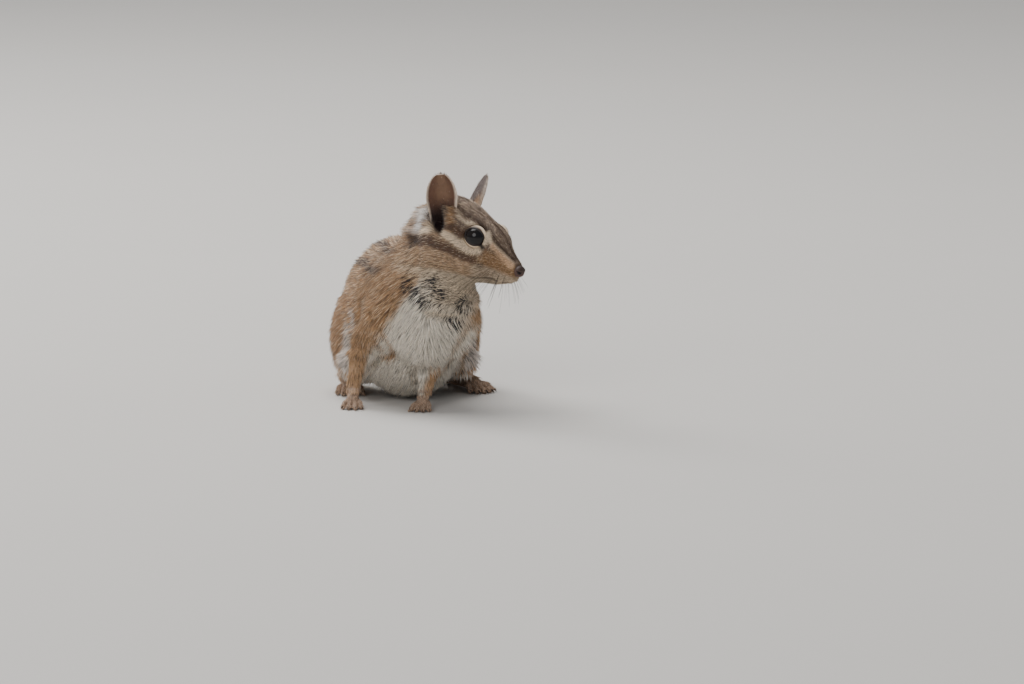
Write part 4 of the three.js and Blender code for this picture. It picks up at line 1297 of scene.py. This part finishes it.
def ear_mesh(side_name, side):
    """A thin cupped leaf with round edges, and the fields of the coat on it."""
    up, opens, across = ear_axes(side_name, side)
    forward_sign = 1.0 if across[0] > 0 else -1.0
    places, tones, inside, rims = [], [], [], []
    for t in EAR_FOOT + (EAR_TOP - EAR_FOOT) * np.sin(np.linspace(0, math.pi / 2, EAR_ROWS)):
        narrowing = math.sqrt(1 - max(0.0, (t - 0.5) / 0.51) ** 2)
        half = EAR_HALF_WIDTH * narrowing * (0.75 + 0.25 * min(1.0, max(0.0, t * 2)))
        cup = EAR_CUP + (EAR_TIP_CUP - EAR_CUP) * max(0.0, t)
        for k in range(EAR_AROUND):
            turn = 2 * math.pi * k / EAR_AROUND
            s = -math.cos(turn)
            rolled = 0.36 + 0.22 * smooth(0.8, 0.97, abs(s))
            thick = EAR_THICKNESS * rolled * min(1.0, narrowing * 2.2)
            fold = float(smooth(0.55, 0.8, abs(s)) * smooth(1.0, 0.85, abs(s)))
            fold = 0.5 * fold * narrowing
            point = sided(EAR_AT, side) + up * EAR_HEIGHT * t + across * half * s
            point = point - opens * (cup * (1 - s * s) * narrowing + fold)
            point = point + opens * thick * math.sin(turn)
            places.append(point)
            front = s * forward_sign
            facing = math.sin(turn) > 0.0
            # the pale rim: partly the ear's own pale edge, partly painted rim light
            rim = max(smooth(0.8, 0.93, abs(s)), smooth(0.985, 1.0, t))
            rim = float(rim * smooth(0.0, 0.2, t))
            if not facing and front > 0:
                rim *= 0.4
            tones.append(ear_tone(t, s, facing, front, rim))
            inside.append(facing and rim < 0.5)
            rims.append(rim)
    faces = []
    for i in range(EAR_ROWS - 1):
        for k in range(EAR_AROUND):
            a, b = i * EAR_AROUND + k, i * EAR_AROUND + (k + 1) % EAR_AROUND
            faces.append((a, b, b + EAR_AROUND, a + EAR_AROUND))
    faces.append(tuple(range(EAR_AROUND - 1, -1, -1)))
    faces.append(tuple((EAR_ROWS - 1) * EAR_AROUND + k for k in range(EAR_AROUND)))
    made = outward_facing(mesh_of("ear", head_places(places), faces))
    store(made, "pelt", flat_colour(np.array(tones)))
    inside = np.array(inside, dtype=float)
    rims = np.array(rims)
    height = (np.array(places) - sided(EAR_AT, side)) @ up / EAR_HEIGHT
    count = len(places)
    normals = normals_of(made)
    lie = np.tile(HEAD_AXES @ up, (count, 1))
    lie -= normals * np.sum(lie * normals, axis=1)[:, None]
    fields = {
        "lie": lie / np.maximum(np.linalg.norm(lie, axis=1), 1e-6)[:, None],
        "rise": np.full(count, 0.14),
        "length": (1.5 - 0.5 * inside - 0.5 * rims) * MM,
        "width": np.full(count, 0.14 * MM),
        "density": (1 - 0.82 * inside) * smooth(-0.1, 0.05, height),
        "tick": 0.3 * (1 - rims),
        "slate": np.zeros(count),
        "pelt": flat_colour(np.array(tones)),
    }
    for key, values in fields.items():
        store(made, key, values)
    return made


for side_name, side in SIDES:
    leaf = ear_mesh(side_name, side)
    ground = leaf.copy()
    fuzz = coat_piece("coat_ear_" + side_name, ground, SHORT_TUFT, EAR_TUFTS, EAR_SEED + side, COAT)
    ear = piece_of("ear_leaf_" + side_name, leaf, EAR_SKIN)
    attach(ear, "root")
    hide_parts("ear_" + side_name)
    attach(fuzz, "root")


# Nose, claws and whiskers
def nose_mesh():
    """A small pad with a comma-shaped nostril on each side and a groove between them."""
    made = ball_mesh("nose_pad", (0, 0, 0), 1.0, NOSE_AROUND)
    places = places_of(made)
    x, y, z = places.T
    dent = np.zeros(len(places))
    for s in (-1, 1):
        hole = np.hypot((y * s - 0.62) / 0.3, (z + 0.12 + 0.35 * (y * s - 0.6)) / 0.26)
        slit = np.hypot((y * s - 0.92) / 0.3, (z - 0.08) / 0.13)
        dent = np.maximum(dent, np.exp(-(hole**2)) * 0.5 + np.exp(-(slit**2)) * 0.3)
    dent = dent * smooth(-0.1, 0.3, x)
    groove = np.exp(-((y / 0.09) ** 2)) * smooth(0.2, -0.3, z) * 0.1
    tone = np.tile(NOSE_LEATHER, (len(places), 1))
    # the nostrils' hollows are darkened as painted shade
    tone = mixed(tone, NOSTRIL_SHADE, smooth(0.08, 0.3, dent))
    tone = mixed(tone, NOSE_TOP, smooth(0.0, 0.5, z))
    places = places * (1 - dent - groove)[:, None] * np.array(NOSE_RADII)
    move_to(made, head_places(places + np.array(NOSE_IN_HEAD)))
    store(made, "pelt", flat_colour(tone))
    return outward_facing(made)


def tubes_mesh(name, lines):
    """Many closed tubes, each as its points and its radii, in one mesh."""
    places, faces = [], []
    start = 0
    for points, widths, heights, sides in lines:
        here, own = tube(points, widths, heights, sides)
        places.append(here)
        faces += [tuple(v + start for v in f) for f in own]
        start += len(here)
    return outward_facing(mesh_of(name, np.concatenate(places), faces))


CLAW_STEPS = 10
WHISKER_ROWS = 4
WHISKER_COLUMNS = 5
WHISKER_STEPS = 12
WHISKER_RADII = (0.075, 0.02)
WHISKER_ROOT = 0.8
WHISKER_DROP = 0.32


def claw_lines():
    """Curved, narrow claws, out of the end of each digit and down to the floor."""
    for _, base, heading, length, r, claw in digit_frames():
        profile = [(0.86 * length, 1.0 * r), (length + 0.2 * claw, 1.12 * r),
                   (length + 0.6 * claw, 0.86 * r), (length + claw, 0.22)]
        line = smoothed_line(along_digit(base, heading, profile), CLAW_STEPS)
        steps = np.linspace(0, 1, CLAW_STEPS)
        size = np.interp(steps, (0, 0.3, 0.7, 1), (0.42, 0.4, 0.24, 0.03)) * r * MM
        yield line, size * 0.62, size, 8


def whisker_lines():
    """Rows of whiskers on each lip: the rear ones long and swept back, the front ones short."""
    chance = np.random.default_rng(5)
    steps = np.linspace(0, 1, WHISKER_STEPS)
    size = np.interp(steps, (0, 1), WHISKER_RADII) * MM
    drop = np.outer(steps**2, (0.0, 0.0, -WHISKER_DROP))
    # each column is further back than the last, and each row lower
    for _, side in SIDES:
        for row in range(WHISKER_ROWS):
            for column in range(WHISKER_COLUMNS):
                root = sided((18.8 - 1.7 * column, 3.4 + 0.45 * column, -4.2 - 0.85 * row), side)
                reach = 7.5 + 3.4 * column + chance.uniform(-1.5, 1.5)
                lift = -0.35 - 0.16 * row + chance.uniform(-0.1, 0.1)
                way = unit(sided((0.62 - 0.26 * column, 0.85, lift), side))
                line = root - way * WHISKER_ROOT + np.outer(steps, way) * reach + drop * reach
                yield head_places(line), size, size, 5


nose = piece_of("nose_pad", nose_mesh(), NOSE_SKIN)
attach(nose, "root")
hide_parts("nose")
for name, lines, material, slot in (
    ("claws", claw_lines(), HORN, "claw"),
    ("whiskers", whisker_lines(), WHISKER, "claw"),
):
    made = piece_of(name, tubes_mesh(name, lines), material)
    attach(made, "root")


# Camera, floor and light
AZIMUTH = math.radians(-10)
ELEVATION = math.radians(9)
PIXEL_MM = 0.38
FRAME_PX = (1024, 684)
HIPS_PX = (405, 391)
CAMERA_REACH = 2.5
SENSOR_MM = 36.0
FLOOR_HALF = 9.0
PAPER = (0.62, 0.6, 0.57)


def make_camera():
    """The photo's view: its size and its middle come from where the hips lie in the picture."""
    right = Vector((math.cos(AZIMUTH), math.sin(AZIMUTH), 0))
    level = Vector((math.sin(AZIMUTH), -math.cos(AZIMUTH), 0))
    back = level * math.cos(ELEVATION) + Vector((0, 0, math.sin(ELEVATION)))
    up = back.cross(right)
    aim = HIPS + right * (FRAME_PX[0] / 2 - HIPS_PX[0]) * PIXEL_MM * MM
    aim += up * (HIPS_PX[1] - FRAME_PX[1] / 2) * PIXEL_MM * MM
    data = bpy.data.cameras.new("camera")
    data.sensor_width = SENSOR_MM
    data.lens = SENSOR_MM * CAMERA_REACH / (FRAME_PX[0] * PIXEL_MM * MM)
    camera = bpy.data.objects.new("camera", data)
    camera.matrix_world = Matrix((right, up, back)).transposed().to_4x4()
    camera.location = aim + back * CAMERA_REACH
    bpy.context.scene.collection.objects.link(camera)
    bpy.context.scene.camera = camera


def make_floor():
    """A wide pale floor, flat on every side."""
    corners = ((-1, -1), (1, -1), (1, 1), (-1, 1))
    places = [(x * FLOOR_HALF, y * FLOOR_HALF, 0.0) for x, y in corners]
    made, tree, shader = new_material("Pale paper", 0.85, specular=0.15)
    mottle = mapped(tree, noise(tree, 6.0), 0.0, 1.0, 0.96, 1.0)
    tree.links.new(scaled(tree, PAPER, mottle), shader.inputs["Base Color"])
    floor = piece_of("studio_floor", mesh_of("studio_floor", places, [(0, 1, 2, 3)]), made)


def add_light(name, place, size, power, tone=(1, 1, 1)):
    """A round soft light that points at the animal's middle."""
    data = bpy.data.lights.new(name, "AREA")
    data.shape = "DISK"
    data.size = size
    data.energy = power
    data.color = tone
    light = bpy.data.objects.new(name, data)
    light.location = place
    aim = Vector((0, 0, 0.04)) - Vector(place)
    light.rotation_euler = aim.to_track_quat("-Z", "Y").to_euler()
    bpy.context.scene.collection.objects.link(light)


make_camera()
make_floor()
add_light("sky", (-0.3, 0.3, 1.5), 1.4, 26, (1.0, 0.98, 0.96))
add_light("front", (-0.9, -1.5, 0.9), 1.2, 12, (1.0, 0.99, 0.98))
add_light("rim", (-0.7, 0.9, 0.8), 0.6, 8)
world = bpy.data.worlds.new("studio")
world.use_nodes = True
world.node_tree.nodes["Background"].inputs["Color"].default_value = (0.8, 0.82, 0.85, 1)
world.node_tree.nodes["Background"].inputs["Strength"].default_value = 0.45
bpy.context.scene.world = world
